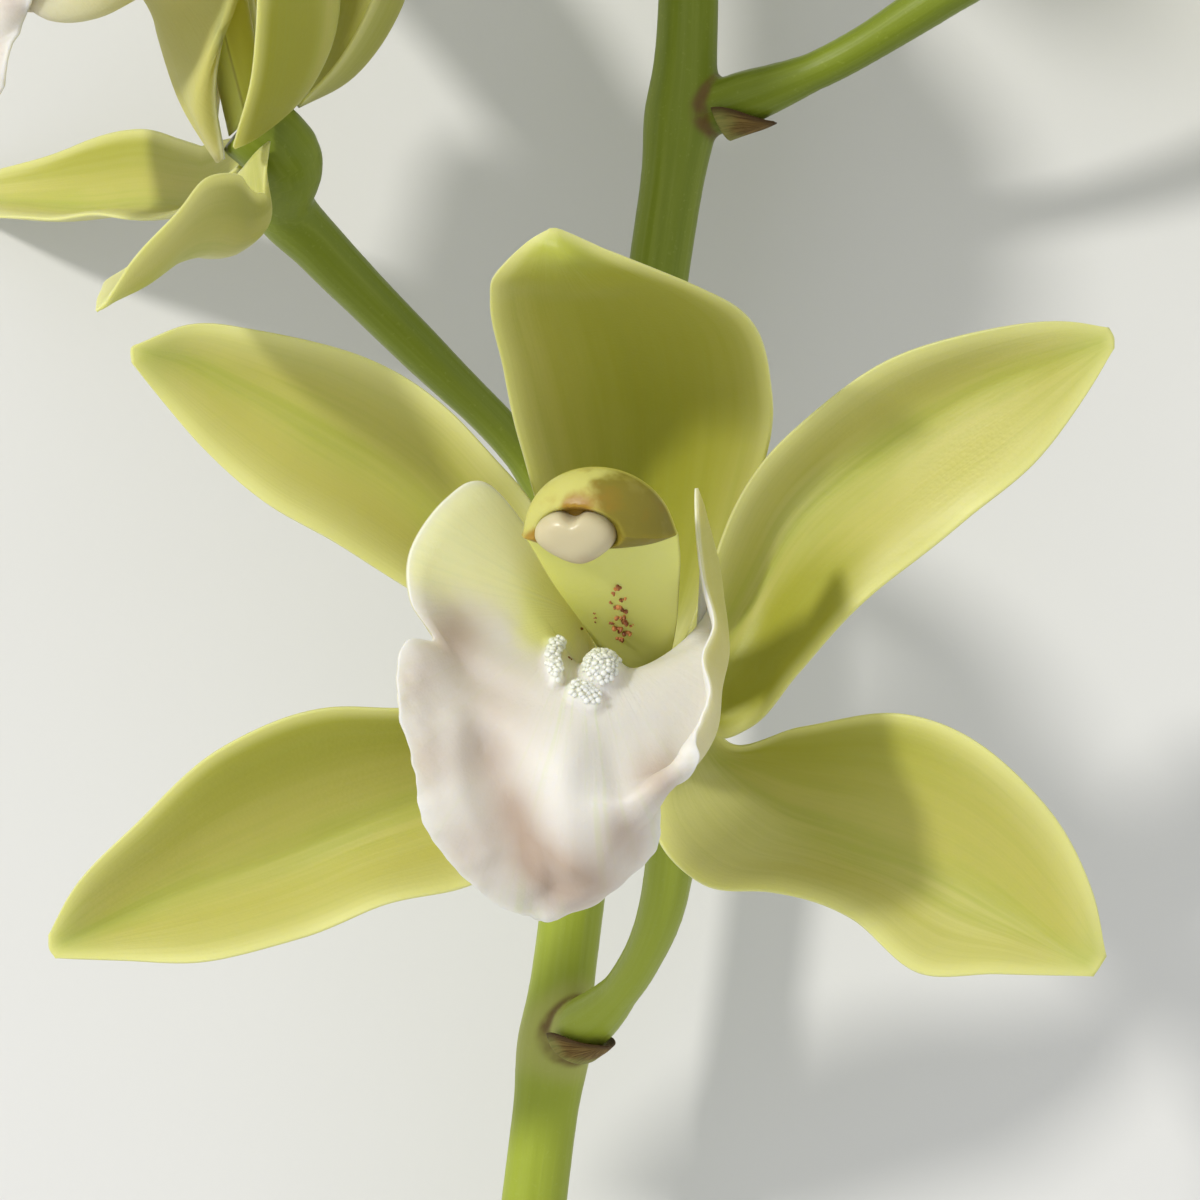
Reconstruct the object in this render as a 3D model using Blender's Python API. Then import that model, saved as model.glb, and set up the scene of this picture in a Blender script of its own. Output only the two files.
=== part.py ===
"""A cut flowering stem of a green cymbidium orchid, lying on its side as it would on a table.

The tables below are in millimetres, in the frame of the first bloom: its sepals and petals meet at
the origin, +X is its right, +Y runs to the tip of the stem, and +Z is up, away from the table.
The stem rests on its cut end and on the lowest sepals and petals of the side blooms.
"""

import math

import bpy
import numpy as np
from mathutils import Matrix

MM = 0.001
GAP = 0.3  # clearance between pieces that touch
FLOOR = -60.0  # height of the table under the first bloom
MIDDLE = (12.4, -1.7)  # middle of the whole stem on the table

PETAL_THICKNESS = 0.8
LIP_THICKNESS = 0.9
BRACT_THICKNESS = 0.6

# The disc at the end of each pedicel, where the sheets meet, and its turn to the viewer's left.
DISC_CENTRE = (0.3, -1.0, 0.0)
DISC_TURN = 15.0
REACH = 50.0  # length of sepal that closes by the angle that a bloom states
SLIM_BY = 0.25  # share of its length by which a slim sepal has its own width

# Where each sheet is cut into facets, as shares of its length and width.
TEPAL_ALONG = np.linspace(0, 1, 10)
TEPAL_ACROSS = np.linspace(0, 1, 5)
LIP_ALONG = np.linspace(0, 1, 15)
LIP_ACROSS = np.array((0, 0.11, 0.22, 0.31, 0.38, 0.44, 0.5, 0.56, 0.62, 0.69, 0.78, 0.89, 1))

# Each piece of the bloom is a sheet between guide lines, which run from its base to its tip.
# They are listed so that the inner face, seen with the tip up, has the first line on its left.
DORSAL_SEPAL = (
    ((-1, 3.3, -2.9), (-5, 8.5, -1.5), (-9.5, 16, 2), (-11.5, 22.5, 6), (-13, 29.5, 13),
     (-14, 35, 22), (-13, 37.5, 29), (-10, 40, 31.5), (-8.5, 40.8, 32)),
    ((0.9, 3.3, -2.4), (0.5, 8.5, -4.5), (-0.5, 17, -4), (-1, 25.5, 1), (-2, 31.5, 10),
     (-4, 35.5, 21), (-6, 37, 30), (-7.2, 38.5, 32.5), (-8.2, 40.8, 32)),
    ((2.9, 3.3, -1.9), (6, 8.5, -1), (9.5, 16.5, 2), (11.5, 23.5, 7), (11.5, 27.5, 12),
     (10, 32.5, 19), (4.5, 36, 27), (-2.5, 38.5, 31.5), (-7.9, 40.8, 32)),
)
PETAL_LEFT = (
    ((-3.9, -0.5, -2.2), (-11.5, 2.5, 1.5), (-21.9, 9.5, 3.4), (-28.3, 13.5, 4),
     (-35.1, 17.4, 3.8), (-41.3, 22.7, 2.7), (-45.5, 27.6, 2.8), (-47.8, 30.6, 4)),
    ((-3, 1.2, -1.9), (-9, 6.5, 0), (-16.4, 13, 0.4), (-22.8, 18.9, 1), (-30.6, 23.8, 1.8),
     (-37.9, 28.1, 1.7), (-43.6, 31, 2.3), (-47.9, 31.9, 4)),
    ((-2.1, 2.8, -1.7), (-6.5, 9.5, 3.8), (-11, 18, 6), (-13.4, 20.9, 7.4), (-17.8, 25.8, 7.9),
     (-25.7, 30.7, 7.5), (-35.9, 33.5, 5.3), (-42.5, 34.1, 4.1), (-47.3, 32.3, 4)),
)
PETAL_RIGHT = (
    ((3.2, 2.8, -0.3), (5.5, 9.5, 4), (8, 16.5, 6), (12.5, 23, 9), (21.5, 30, 11),
     (32.5, 33.5, 11), (39, 34, 10.5), (42.5, 33.5, 10)),
    ((4.2, 1.2, 0), (7, 4, -1.5), (10, 8.5, -2.8), (14.5, 16, -0.8), (22.1, 22.5, 3.2),
     (30.1, 27.5, 7.3), (37, 30.5, 9.2), (43, 32.6, 10)),
    ((5.1, -0.5, 0.3), (7.2, -4.5, 0.5), (9.8, -3.5, 1.5), (14, 1.5, 4), (21, 9, 7),
     (29, 15.5, 10), (35.5, 21, 11), (40.5, 27.5, 10.5), (43, 31.6, 10)),
)
LATERAL_SEPAL_LEFT = (
    ((-1.7, -4.8, -3.2), (-8, -12.5, -3.1), (-16.5, -18.4, -2), (-24.9, -20.4, -1.3),
     (-32.3, -23.3, -2.1), (-41.2, -25.7, -2.8), (-49.6, -25.7, -4.4), (-56, -25.6, -5)),
    ((-2.6, -3.2, -3.5), (-10, -7.5, -6.6), (-17.6, -9.6, -8.1), (-25, -12, -7.9),
     (-35, -16, -8.2), (-44.4, -19.4, -8), (-52.2, -22.8, -7), (-56.6, -24.7, -5)),
    ((-3.5, -1.5, -3.7), (-11.5, -1.5, -2.1), (-23, -1.6, 0), (-30, -1.8, 0.2),
     (-40, -5.4, -1.6), (-47.6, -12.2, -3.8), (-54.3, -19, -4.9), (-56.7, -23.4, -5)),
)
LATERAL_SEPAL_RIGHT = (
    ((5.5, -1.5, -1.3), (8, -5, -3), (14.5, -3.5, 1), (24, -2.1, 6.5), (31.4, -5.2, 9.5),
     (37, -10.8, 10), (41.2, -18.6, 9), (42.6, -24.4, 7)),
    ((4.5, -3.2, -1.5), (7, -7.5, -5.7), (12, -11.6, -4.2), (19.1, -14.1, -0.2),
     (26.6, -16.6, 2.8), (34.6, -21.1, 5), (39.1, -24, 6.5), (42, -25.5, 7)),
    ((3.6, -4.8, -1.8), (1, -10.5, -2), (1.5, -14.5, 1), (5.5, -18, 3.5), (11.5, -18.5, 5),
     (19, -21, 6), (25.5, -26, 7.5), (32.5, -26, 8), (41.4, -26.3, 7)),
)

# The lip's guide lines keep the same stations, so that each station is one cross-section: the claw,
# the trough with its side lobes, the notches in front of them, and the mid lobe down to its tip.
LIP = (
    ((2.2, -5.4, 0), (4.5, 0, 7), (5, 12, 14), (4.5, 18.5, 18), (4.5, 15, 20.5), (5, 10.5, 22),
     (6, 6.5, 22), (5, 3.5, 22.5), (5.5, 0.5, 23.5), (4.5, -2.5, 24.5), (4, -6, 24.5),
     (1, -9.5, 23), (0.5, -14, 20.5), (-4, -18.5, 18.5), (-8.4, -20, 17.5)),
    ((1.3, -5.6, -0.4), (3, -3, 6), (5.2, 4, 10), (6, 7.5, 12.5), (6.3, 6, 14.5), (6.4, 4.5, 16),
     (6.2, 2.5, 17), (5.7, 0, 18), (4.8, -4, 19.5), (2.6, -7, 22), (-1.5, -9, 26), (-3.5, -14, 24.5),
     (-5, -17.5, 21.5), (-7.2, -19, 19), (-8.7, -20.1, 17.5)),
    ((0.4, -5.7, -0.5), (-0.5, -3.6, 5), (-2, -1, 9.5), (-3, 0.8, 13), (-4, 1.5, 16),
     (-5, 1.2, 18.5), (-5.5, 0, 20.5), (-6, -1.5, 22), (-7, -3.5, 23.5), (-7.5, -6.5, 25),
     (-8, -10, 25.5), (-8.5, -13.5, 24.5), (-9, -16.5, 22), (-9, -18.5, 19.5), (-9, -20.2, 17.5)),
    ((-0.5, -5.6, -0.4), (-3.5, -2.6, 6), (-7, 2.5, 12), (-10, 7, 15), (-13, 7, 17.5),
     (-15, 5.5, 19), (-15.5, 3.5, 20.5), (-15, 1, 21), (-15.5, -1, 22.5), (-14.5, -5, 23),
     (-13.5, -9.5, 23), (-12.5, -14, 22), (-11.5, -17, 20.5), (-10.5, -19, 18.5),
     (-9.4, -20.1, 17.5)),
    ((-1.4, -5.4, 0), (-5.2, 5.2, 6.6), (-9.9, 13.4, 12.6), (-14.5, 19, 18), (-18, 17.5, 21),
     (-21, 13, 23), (-21, 8.5, 24), (-19, 5, 23), (-21.4, 4.8, 25.5), (-22.2, 0.2, 26),
     (-20.5, -6.5, 25.5), (-19.5, -12, 24), (-15.5, -17, 21), (-12, -19.5, 19), (-9.7, -20, 17.5)),
)
# The two keels on the floor of the lip: share of the lip's length, place across it, both from 0 to 1.
KEEL_FROM, KEEL_TO = 0.20, 0.52
KEEL_SPREAD = (0.085, 0.02)
KEEL_HEIGHT = 2.2
KEEL_WIDTH = 0.05
KEEL_MIDDLE = 0.48

# Column stations from its foot to its hood: centre, half width, dorsal and ventral height, lean.
COLUMN = (
    ((0.2, -1, 0.35), 2.9, 2.7, 2.4, 0),
    ((-0.6, 2.6, 6), 3.1, 3.2, 1.6, -14),
    ((-1.5, 6.4, 12), 3.9, 3.6, 1.3, -12),
    ((-2.7, 9.9, 18), 5.0, 4.3, 1.2, -4),
    ((-3.6, 12.9, 23), 6.2, 5.3, 1.2, 8),
    ((-4.2, 14.5, 26.3), 6.8, 6.0, 1.3, 18),
)
HOOD_RINGS = (0.93, 0.78, 0.58, 0.36)  # share of the hood's size
HOOD_BULGE = 4.2  # how far the hood's end is domed
ANTHER_CENTRE = (-6.3, 14.3, 28.5)
ANTHER_SIZE = (3.7, 2.4, 2.0)
SEAT_SIZE, SEAT_DEPTH, SEAT_SLOPE = (4.3, 3.0), 0.5, 1.6  # the anther cap's seat in the dome

# The rachis from its cut end to its tip, with its radius.
RACHIS = (
    ((-27, -238, -56.5), 3.5), ((-22, -180, -51.5), 3.4), ((-16.5, -110, -45.5), 3.4),
    ((-11, -53.5, -41), 3.4), ((-7.5, -26.5, -40), 3.3), ((-3, 9.5, -40), 3.2),
    ((2, 43.5, -40), 3.2), ((4.3, 60, -40), 3.3), ((5, 85, -39.5), 2.9), ((3.5, 120, -39), 2.7),
    ((1, 155, -38), 2.4), ((-0.5, 180, -37), 1.9), ((-0.5, 200, -36), 1.6),
)

# Blooms: disc, turn about the stem, tilt towards its tip, spin, how far its sepals and its petals
# are still closed, how slim its lateral sepals are against the first bloom's, mirrored or not, its
# pedicel's route and its node's height on the rachis.
BLOOMS = (
    dict(at=(0.3, -1, 0), turn=0, tilt=0, spin=0, closed=(0, 0), slim=1, mirrored=False,
         route=((2.3, -3.6, -8), (2.6, -9, -11.5), (2.7, -16, -15), (1.8, -22, -19), (-0.5, -28, -25),
                (-3.5, -32.5, -31.5)), node=-37.5),
    dict(at=(-38, 54.6, -9.4), turn=-57, tilt=-38, spin=-18, closed=(6, 44), slim=0.56, mirrored=False,
         route=((-35.2, 47, -15.5), (-31.8, 43.2, -19), (-26.5, 37.8, -24), (-20.6, 32, -28.5),
                (-13.5, 25, -34)), node=9.5),
    dict(at=(46, 84, -17.9), turn=62, tilt=-25, spin=0, closed=(24, 16), slim=0.9, mirrored=True,
         route=((40, 76, -28), (29.5, 69, -31), (20, 63.5, -35)), node=58),
    dict(at=(-32, 140, -27.2), turn=-74, tilt=-20, spin=-10, closed=(16, 16), slim=0.9, mirrored=True,
         route=((-26, 130, -26), (-17, 119, -31), (-7, 110, -35)), node=103),
    dict(at=(30, 178, -16), turn=42, tilt=-30, spin=-6, closed=(34, 34), slim=0.9, mirrored=False,
         route=((25, 167, -22), (17, 157, -28), (9, 150, -32)), node=144),
)
BUDS = (
    dict(at=(-20, 199, -24), towards=(-0.62, 0.72, 0.30), length=30, radius=6.2,
         route=((-11, 190, -28.5),), node=178),
    dict(at=(0.5, 208, -28), towards=(0.12, 0.96, 0.25), length=23, radius=4.6, route=(), node=196),
)
KNOB_RADIUS = 2.85  # of the swelling where a pedicel joins the rachis
PEDICEL_RADII = (3.9, 3.4, 2.75, 2.5, 2.35, 2.05, 2, KNOB_RADIUS, 2.5)
BUD_STALK_RADII = (1.6, 1.7, 1.6, 1.5, 1.6)
OVARY_DEPTHS = (0, 2.3, 4.4)  # how far the pedicel runs straight behind its bloom
RACHIS_SIDES, PEDICEL_SIDES, ROUND_SIDES = 9, 8, 12

# Scale leaves that clasp the stem: place on it, side in degrees, length. The small ones clasp the
# pedicels from below, where they leave the rachis.
SHEATHS = ((-205, 70, 42), (-150, 250, 40), (-92, 95, 36))
SHEATH_SPREAD, SHEATH_LEAN = 105, 1.5
BRACT_LENGTH, BRACT_CLEAR = 5.2, 0.6
BRACT_SPREAD, BRACT_LEAN = 80, 0.3
WRAP_TIP = 0.1  # share of its base's spread that a scale leaf keeps at its tip

GREEN = (0.27, 0.32, 0.07)
PALE_GREEN = (0.42, 0.43, 0.13)
CREAM = (0.72, 0.68, 0.52)
WHITE = (0.74, 0.73, 0.65)
BROWN = (0.16, 0.09, 0.03)


def clear_scene():
    for item in list(bpy.data.objects):
        bpy.data.objects.remove(item, do_unlink=True)


def unit(vectors):
    return vectors / np.linalg.norm(vectors, axis=-1, keepdims=True)


def curve_through(points, at, knots=None):
    """Points at the given shares, 0 to 1, of a smooth curve through the listed points."""
    points = np.array(points, float)
    if knots is None:
        steps = np.linalg.norm(np.diff(points, axis=0), axis=1)
        knots = np.concatenate([[0], np.cumsum(steps)]) / steps.sum()
    slopes = np.gradient(points, knots, axis=0)
    cell = np.clip(np.searchsorted(knots, at, side="right") - 1, 0, len(knots) - 2)
    width = (knots[cell + 1] - knots[cell])[:, None]
    s = (np.asarray(at) - knots[cell])[:, None] / width
    return (
        (1 + 2 * s) * (1 - s) ** 2 * points[cell]
        + s * (1 - s) ** 2 * width * slopes[cell]
        + s**2 * (3 - 2 * s) * points[cell + 1]
        - s**2 * (1 - s) * width * slopes[cell + 1]
    )


def sheet(guides, along, across, stations=False):
    """A grid of points over the surface that the guide lines span, base to tip and side to side."""
    knots = np.linspace(0, 1, len(guides[0])) if stations else None
    lines = np.array([curve_through(guide, along, knots) for guide in guides])
    side_knots = np.linspace(0, 1, len(guides))
    return np.array([curve_through(lines[:, row], across, side_knots) for row in range(len(along))])


def face_normals(grid):
    return unit(np.cross(np.gradient(grid, axis=1), np.gradient(grid, axis=0)))


def slab(grid, thickness, relief=0):
    """A closed solid of even thickness round the grid, with relief raised from its inner face only."""
    normals = face_normals(grid)
    rows, columns = grid.shape[:2]
    count = rows * columns
    front = grid + normals * (thickness / 2 + np.zeros((rows, columns, 1)) + relief)
    back = grid - normals * thickness / 2
    points = np.concatenate([front.reshape(-1, 3), back.reshape(-1, 3)])
    faces = []
    for i in range(rows - 1):
        for j in range(columns - 1):
            a, b = i * columns + j, i * columns + j + 1
            c, d = b + columns, a + columns
            faces += [(a, b, c), (a, c, d)]
            faces += [(a + count, c + count, b + count), (a + count, d + count, c + count)]
    rim = [j for j in range(columns)]
    rim += [i * columns + columns - 1 for i in range(1, rows)]
    rim += [(rows - 1) * columns + j for j in range(columns - 2, -1, -1)]
    rim += [i * columns for i in range(rows - 2, 0, -1)]
    for p, q in zip(rim, rim[1:] + rim[:1]):
        faces += [(q, p, p + count), (q, p + count, q + count)]
    return points, faces


def loft(rings):
    """A closed solid through the rings, which turn anticlockwise seen from the last one."""
    sides = len(rings[0])
    points = np.concatenate(rings)
    faces = []
    for i in range(len(rings) - 1):
        for j in range(sides):
            a, b = i * sides + j, i * sides + (j + 1) % sides
            faces.append((a, b, b + sides, a + sides))
    faces.append(tuple(range(sides - 1, -1, -1)))
    last = (len(rings) - 1) * sides
    faces.append(tuple(range(last, last + sides)))
    return points, faces


def tube_rings(path, radii, sides):
    """Round rings along the path, kept from twisting."""
    path = np.array(path, float)
    tangents = unit(np.gradient(path, axis=0))
    side = np.cross(tangents[0], (0.13, 0.2, 1.0))
    turns = np.arange(sides) * 2 * math.pi / sides
    rings = []
    for centre, tangent, radius in zip(path, tangents, radii):
        side = unit(side - tangent * np.dot(side, tangent))
        other = np.cross(tangent, side)
        circle = np.outer(np.cos(turns), side) + np.outer(np.sin(turns), other)
        rings.append(centre + radius * circle)
    return rings


def add_object(name, points, faces, material):
    """The solid as an object, moved from the tables' frame on to the table and into metres."""
    placed = (np.array(points) - (MIDDLE[0], MIDDLE[1], FLOOR)) * MM
    mesh = bpy.data.meshes.new(name)
    mesh.from_pydata(placed.tolist(), [], [tuple(face) for face in faces])
    mesh.update()
    mesh.shade_smooth()
    mesh.set_sharp_from_angle(angle=math.radians(50))
    mesh.materials.append(material)
    item = bpy.data.objects.new(name, mesh)
    bpy.context.scene.collection.objects.link(item)
    return item


def make_material(name, colour, roughness):
    material = bpy.data.materials.new(name)
    material.use_nodes = True
    shader = material.node_tree.nodes["Principled BSDF"]
    shader.inputs["Base Color"].default_value = (*colour, 1)
    shader.inputs["Roughness"].default_value = roughness
    shader.inputs["Metallic"].default_value = 0.0
    return material


def bloom_axis():
    turn = math.radians(DISC_TURN)
    return np.array((-math.sin(turn), 0, math.cos(turn)))


def bloom_matrix(bloom):
    turn = Matrix.Rotation(math.radians(bloom["turn"]), 3, "Y")
    tilt = Matrix.Rotation(math.radians(bloom["tilt"]), 3, "X")
    spin = Matrix.Rotation(math.radians(bloom["spin"]), 3, "Z")
    return np.array(turn @ tilt @ spin)


def place_in_bloom(bloom, points, faces):
    """Moves a solid from the first bloom to another one, mirrored if that bloom is."""
    local = points - np.array(DISC_CENTRE)
    if bloom["mirrored"]:
        local = local * (-1, 1, 1)
        faces = [tuple(face)[::-1] for face in faces]
    return local @ bloom_matrix(bloom).T + bloom["at"], faces


def close_up(grid, degrees):
    """Bends a sepal or petal forward round the disc, as in a bloom that isn't fully open."""
    axis = bloom_axis()
    local = grid - np.array(DISC_CENTRE)
    height = local @ axis
    outward = local - height[..., None] * axis
    reach = np.linalg.norm(outward, axis=-1)
    angle = np.radians(degrees) * reach / REACH
    bent = outward * np.cos(angle)[..., None] + (height + reach * np.sin(angle))[..., None] * axis
    return bent + np.array(DISC_CENTRE)


def slimmed(grid, slim):
    """Draws the sides of a sepal towards its midline, but for its base."""
    middle = grid[:, grid.shape[1] // 2, None]
    share = 1 + (slim - 1) * np.clip(np.linspace(0, 1 / SLIM_BY, len(grid)), 0, 1)
    return middle + (grid - middle) * share[:, None, None]


def keel_relief(along, across):
    """Height of the two keels over the lip's grid."""
    along = along[:, None]
    across = across[None, :]
    share = np.clip((along - KEEL_FROM) / (KEEL_TO - KEEL_FROM), 0, 1)
    spread = KEEL_SPREAD[0] + (KEEL_SPREAD[1] - KEEL_SPREAD[0]) * share
    rise = np.sin(math.pi * share) ** 0.5
    left = np.exp(-(((across - KEEL_MIDDLE - spread) / KEEL_WIDTH) ** 2))
    right = np.exp(-(((across - KEEL_MIDDLE + spread) / KEEL_WIDTH) ** 2))
    return (KEEL_HEIGHT * rise * np.maximum(left, right))[..., None]


def hood_height(share, level, sideways):
    """How far the hood's end is domed at a share of its size, less the seat of the anther cap."""
    dome = HOOD_BULGE * np.sqrt(np.maximum(1 - share**2, 0))
    away = np.hypot(sideways / SEAT_SIZE[0], level / SEAT_SIZE[1]) - 1
    seat = SEAT_DEPTH + SEAT_SLOPE * SEAT_SIZE[1] * np.maximum(away, 0)
    return np.minimum(dome, seat)


def column_rings(sides=ROUND_SIDES):
    """The column's cross-sections, then the domed end of its hood."""
    turn = math.radians(DISC_TURN)
    side = np.array((math.cos(turn), 0, math.sin(turn)))
    turns = np.arange(sides) * 2 * math.pi / sides
    rings = []
    for centre, half_width, dorsal, ventral, lean in COLUMN:
        lean = math.radians(lean)
        up = np.array((0, math.cos(lean), 0)) + math.sin(lean) * bloom_axis()
        height = np.where(np.sin(turns) > 0, dorsal, ventral) * np.sin(turns)
        width = half_width * np.cos(turns)
        rings.append(centre + np.outer(width, side) + np.outer(height, up))
    rim = rings[-1]
    middle = rim.mean(axis=0)
    outward = np.cross(side, up)
    for share in HOOD_RINGS:
        ring = middle + (rim - middle) * share
        height = hood_height(share, (ring - ANTHER_CENTRE) @ up, (ring - ANTHER_CENTRE) @ side)
        rings.append(ring + np.outer(height, outward))
    return rings


def anther_rings(sides=ROUND_SIDES, count=6):
    """A heart-shaped cushion: two round lobes above, one blunt point below."""
    turn = math.radians(DISC_TURN)
    side = np.array((math.cos(turn), 0, math.sin(turn)))
    lean = math.radians(COLUMN[-1][4])
    up = np.array((0, math.cos(lean), 0)) + math.sin(lean) * bloom_axis()
    out = np.cross(side, up)
    turns = np.arange(sides) * 2 * math.pi / sides
    wide, tall, deep = ANTHER_SIZE
    rings = []
    for level in np.linspace(0.06, 0.94, count):
        swell = math.sin(math.pi * level) ** 0.6
        below = np.sin(turns) < 0
        x = wide * swell * np.cos(turns) * np.where(below, 1 - 0.25 * np.sin(turns) ** 2, 1)
        notch = 0.16 * np.exp(-(((turns - math.pi / 2) / 0.35) ** 2))
        y = tall * swell * (np.sin(turns) * np.where(below, 1.15, 1) - notch)
        z = -deep * math.cos(math.pi * level)
        rings.append(ANTHER_CENTRE + np.outer(x, side) + np.outer(y, up) + z * out)
    return rings


def make_bloom(number, bloom, materials):
    left, right = ("right", "left") if bloom["mirrored"] else ("left", "right")
    tepals = (
        ("dorsal_sepal", DORSAL_SEPAL, bloom["closed"][0] / 2),
        (f"petal_{left}", PETAL_LEFT, bloom["closed"][1]),
        (f"petal_{right}", PETAL_RIGHT, bloom["closed"][1]),
        (f"lateral_sepal_{left}", LATERAL_SEPAL_LEFT, bloom["closed"][0]),
        (f"lateral_sepal_{right}", LATERAL_SEPAL_RIGHT, bloom["closed"][0]),
    )
    for name, guides, closed in tepals:
        slim = bloom["slim"] if "lateral" in name else 1
        grid = close_up(slimmed(sheet(guides, TEPAL_ALONG, TEPAL_ACROSS), slim), closed)
        points, faces = place_in_bloom(bloom, *slab(grid, PETAL_THICKNESS))
        add_object(f"bloom_{number}_{name}", points, faces, materials["tepal"])
    grid = sheet(LIP, LIP_ALONG, LIP_ACROSS, stations=True)
    solid = slab(grid, LIP_THICKNESS, keel_relief(LIP_ALONG, LIP_ACROSS))
    add_object(f"bloom_{number}_lip", *place_in_bloom(bloom, *solid), materials["lip"])
    solid = place_in_bloom(bloom, *loft(column_rings()))
    add_object(f"bloom_{number}_column", *solid, materials["column"])
    solid = place_in_bloom(bloom, *loft(anther_rings()))
    add_object(f"bloom_{number}_anther_cap", *solid, materials["anther"])


def rachis_at(y):
    """Centre and radius of the rachis at a height along the stem."""
    shares = np.linspace(0, 1, 400)
    path = curve_through([centre for centre, _ in RACHIS], shares)
    nearest = np.argmin(abs(path[:, 1] - y))
    heights = [centre[1] for centre, _ in RACHIS]
    return path[nearest], np.interp(path[nearest, 1], heights, [radius for _, radius in RACHIS])


def rachis_solid():
    path = curve_through([centre for centre, _ in RACHIS], np.linspace(0, 1, 36))
    heights = [centre[1] for centre, _ in RACHIS]
    radii = np.interp(path[:, 1], heights, [radius for _, radius in RACHIS])
    return loft(tube_rings(path, radii, RACHIS_SIDES))


def pedicel_solid(start, axis, route, node, radii):
    """A pedicel from the disc of its bloom, or the base of its bud, to its node on the rachis."""
    start = np.array(start, float)
    behind = [start - axis * depth for depth in OVARY_DEPTHS]
    centre, _ = rachis_at(node)
    along = np.linspace(0, 1, 13)
    path = curve_through([*behind, *route, centre], along)
    widths = np.interp(along, np.linspace(0, 1, len(radii)), radii)
    return loft(tube_rings(path, widths, PEDICEL_SIDES))


def make_stem(materials):
    """The rachis with its pedicels, joined into one solid."""
    solids = []
    for bloom in BLOOMS:
        axis = bloom_axis() * ((-1, 1, 1) if bloom["mirrored"] else (1, 1, 1))
        axis = bloom_matrix(bloom) @ axis
        solids.append(pedicel_solid(bloom["at"], axis, bloom["route"], bloom["node"], PEDICEL_RADII))
    for bud in BUDS:
        axis = unit(np.array(bud["towards"]))
        solids.append(pedicel_solid(bud["at"], axis, bud["route"], bud["node"], BUD_STALK_RADII))
    stem = add_object("stem", *rachis_solid(), materials["stem"])
    for number, solid in enumerate(solids):
        branch = add_object(f"branch_{number}", *solid, materials["stem"])
        join = stem.modifiers.new("join", "BOOLEAN")
        join.operation = "UNION"
        join.object = branch
        bpy.context.view_layer.objects.active = stem
        bpy.ops.object.modifier_apply(modifier=join.name)
        bpy.data.objects.remove(branch, do_unlink=True)


def make_bud(number, bud, materials):
    """A closed bud: an egg with three shallow seams."""
    axis = unit(np.array(bud["towards"]))
    start = np.array(bud["at"]) + axis * GAP
    levels = np.linspace(0, 1, 10)
    path = start + np.outer(levels * bud["length"], axis)
    swell = np.sin(math.pi * (0.08 + 0.88 * levels)) ** 0.75 * (1.12 - 0.35 * levels)
    rings = tube_rings(path, bud["radius"] * swell, ROUND_SIDES)
    turns = np.arange(ROUND_SIDES) * 2 * math.pi / ROUND_SIDES
    seam = (1 - 0.05 * (1 + np.cos(3 * turns)) / 2)[:, None]
    rings = [ring.mean(axis=0) + (ring - ring.mean(axis=0)) * seam for ring in rings]
    add_object(f"bud_{number}", *loft(rings), materials["tepal"])


def wrap(centre, axis, side, radius, length, spread, cells, lean):
    """A grid hugging a stem: it spreads round it at its base and narrows to its tip."""
    across = np.cross(axis, side)
    rows, columns = cells
    grid = np.zeros((rows + 1, columns + 1, 3))
    for i, share in enumerate(np.linspace(0, 1, rows + 1)):
        half = math.radians(spread) * (1 - (1 - WRAP_TIP) * share**1.6)
        away = radius + lean * share**2
        for j, angle in enumerate(np.linspace(half, -half, columns + 1)):
            outward = side * math.cos(angle) + across * math.sin(angle)
            grid[i, j] = centre + axis * length * share + outward * away
    return grid


def rachis_frame(y, degrees):
    """Centre, direction, sideways direction and radius on the rachis, turned by an angle round it."""
    before, _ = rachis_at(y - 3)
    after, _ = rachis_at(y + 3)
    centre, radius = rachis_at(y)
    axis = unit(after - before)
    level = unit(np.cross(axis, (0, 0, 1)))
    up = np.cross(level, axis)
    angle = math.radians(degrees)
    return centre, axis, level * math.cos(angle) + up * math.sin(angle), radius


def make_bracts(materials):
    for number, (y, degrees, length) in enumerate(SHEATHS, 1):
        centre, axis, side, radius = rachis_frame(y, degrees)
        away = radius + GAP + 0.5
        grid = wrap(centre, axis, side, away, length, SHEATH_SPREAD, (6, 6), SHEATH_LEAN)
        add_object(f"sheath_{number}", *slab(grid, BRACT_THICKNESS), materials["bract"])
    for number, bloom in enumerate(BLOOMS, 1):
        centre, rachis_axis, _, radius = rachis_frame(bloom["node"], 0)
        axis = unit(np.array(bloom["route"][-1]) - centre)
        uphill = np.dot(axis, rachis_axis)
        below = unit(axis * uphill - rachis_axis)
        start = centre + axis * (radius + BRACT_CLEAR) / math.sqrt(1 - uphill**2)
        away = KNOB_RADIUS + GAP + BRACT_THICKNESS / 2
        grid = wrap(start, axis, below, away, BRACT_LENGTH, BRACT_SPREAD, (4, 6), BRACT_LEAN)
        add_object(f"bract_{number}", *slab(grid, BRACT_THICKNESS), materials["bract"])


def main():
    clear_scene()
    materials = {
        "stem": make_material("stem green", GREEN, 0.4),
        "tepal": make_material("sepal and petal", PALE_GREEN, 0.5),
        "lip": make_material("lip", WHITE, 0.5),
        "column": make_material("column", PALE_GREEN, 0.4),
        "anther": make_material("anther cap", CREAM, 0.35),
        "bract": make_material("bract", BROWN, 0.7),
    }
    make_stem(materials)
    for number, bloom in enumerate(BLOOMS, 1):
        make_bloom(number, bloom, materials)
    for number, bud in enumerate(BUDS, 1):
        make_bud(number, bud, materials)
    make_bracts(materials)


main()
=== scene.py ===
"""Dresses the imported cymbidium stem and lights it: fine sepals, petals, lips, columns and stem over
the faceted solids, all from the same guide lines, with a material for each kind of tissue.

The tables are in millimetres, in the frame of the first bloom: its sepals and petals meet at the
origin, +X is its right, +Y runs to the tip of the stem, and +Z is up, towards the camera.
"""

import math

import bpy
import numpy as np
from mathutils import Matrix, Vector
from mathutils.bvhtree import BVHTree

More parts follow.
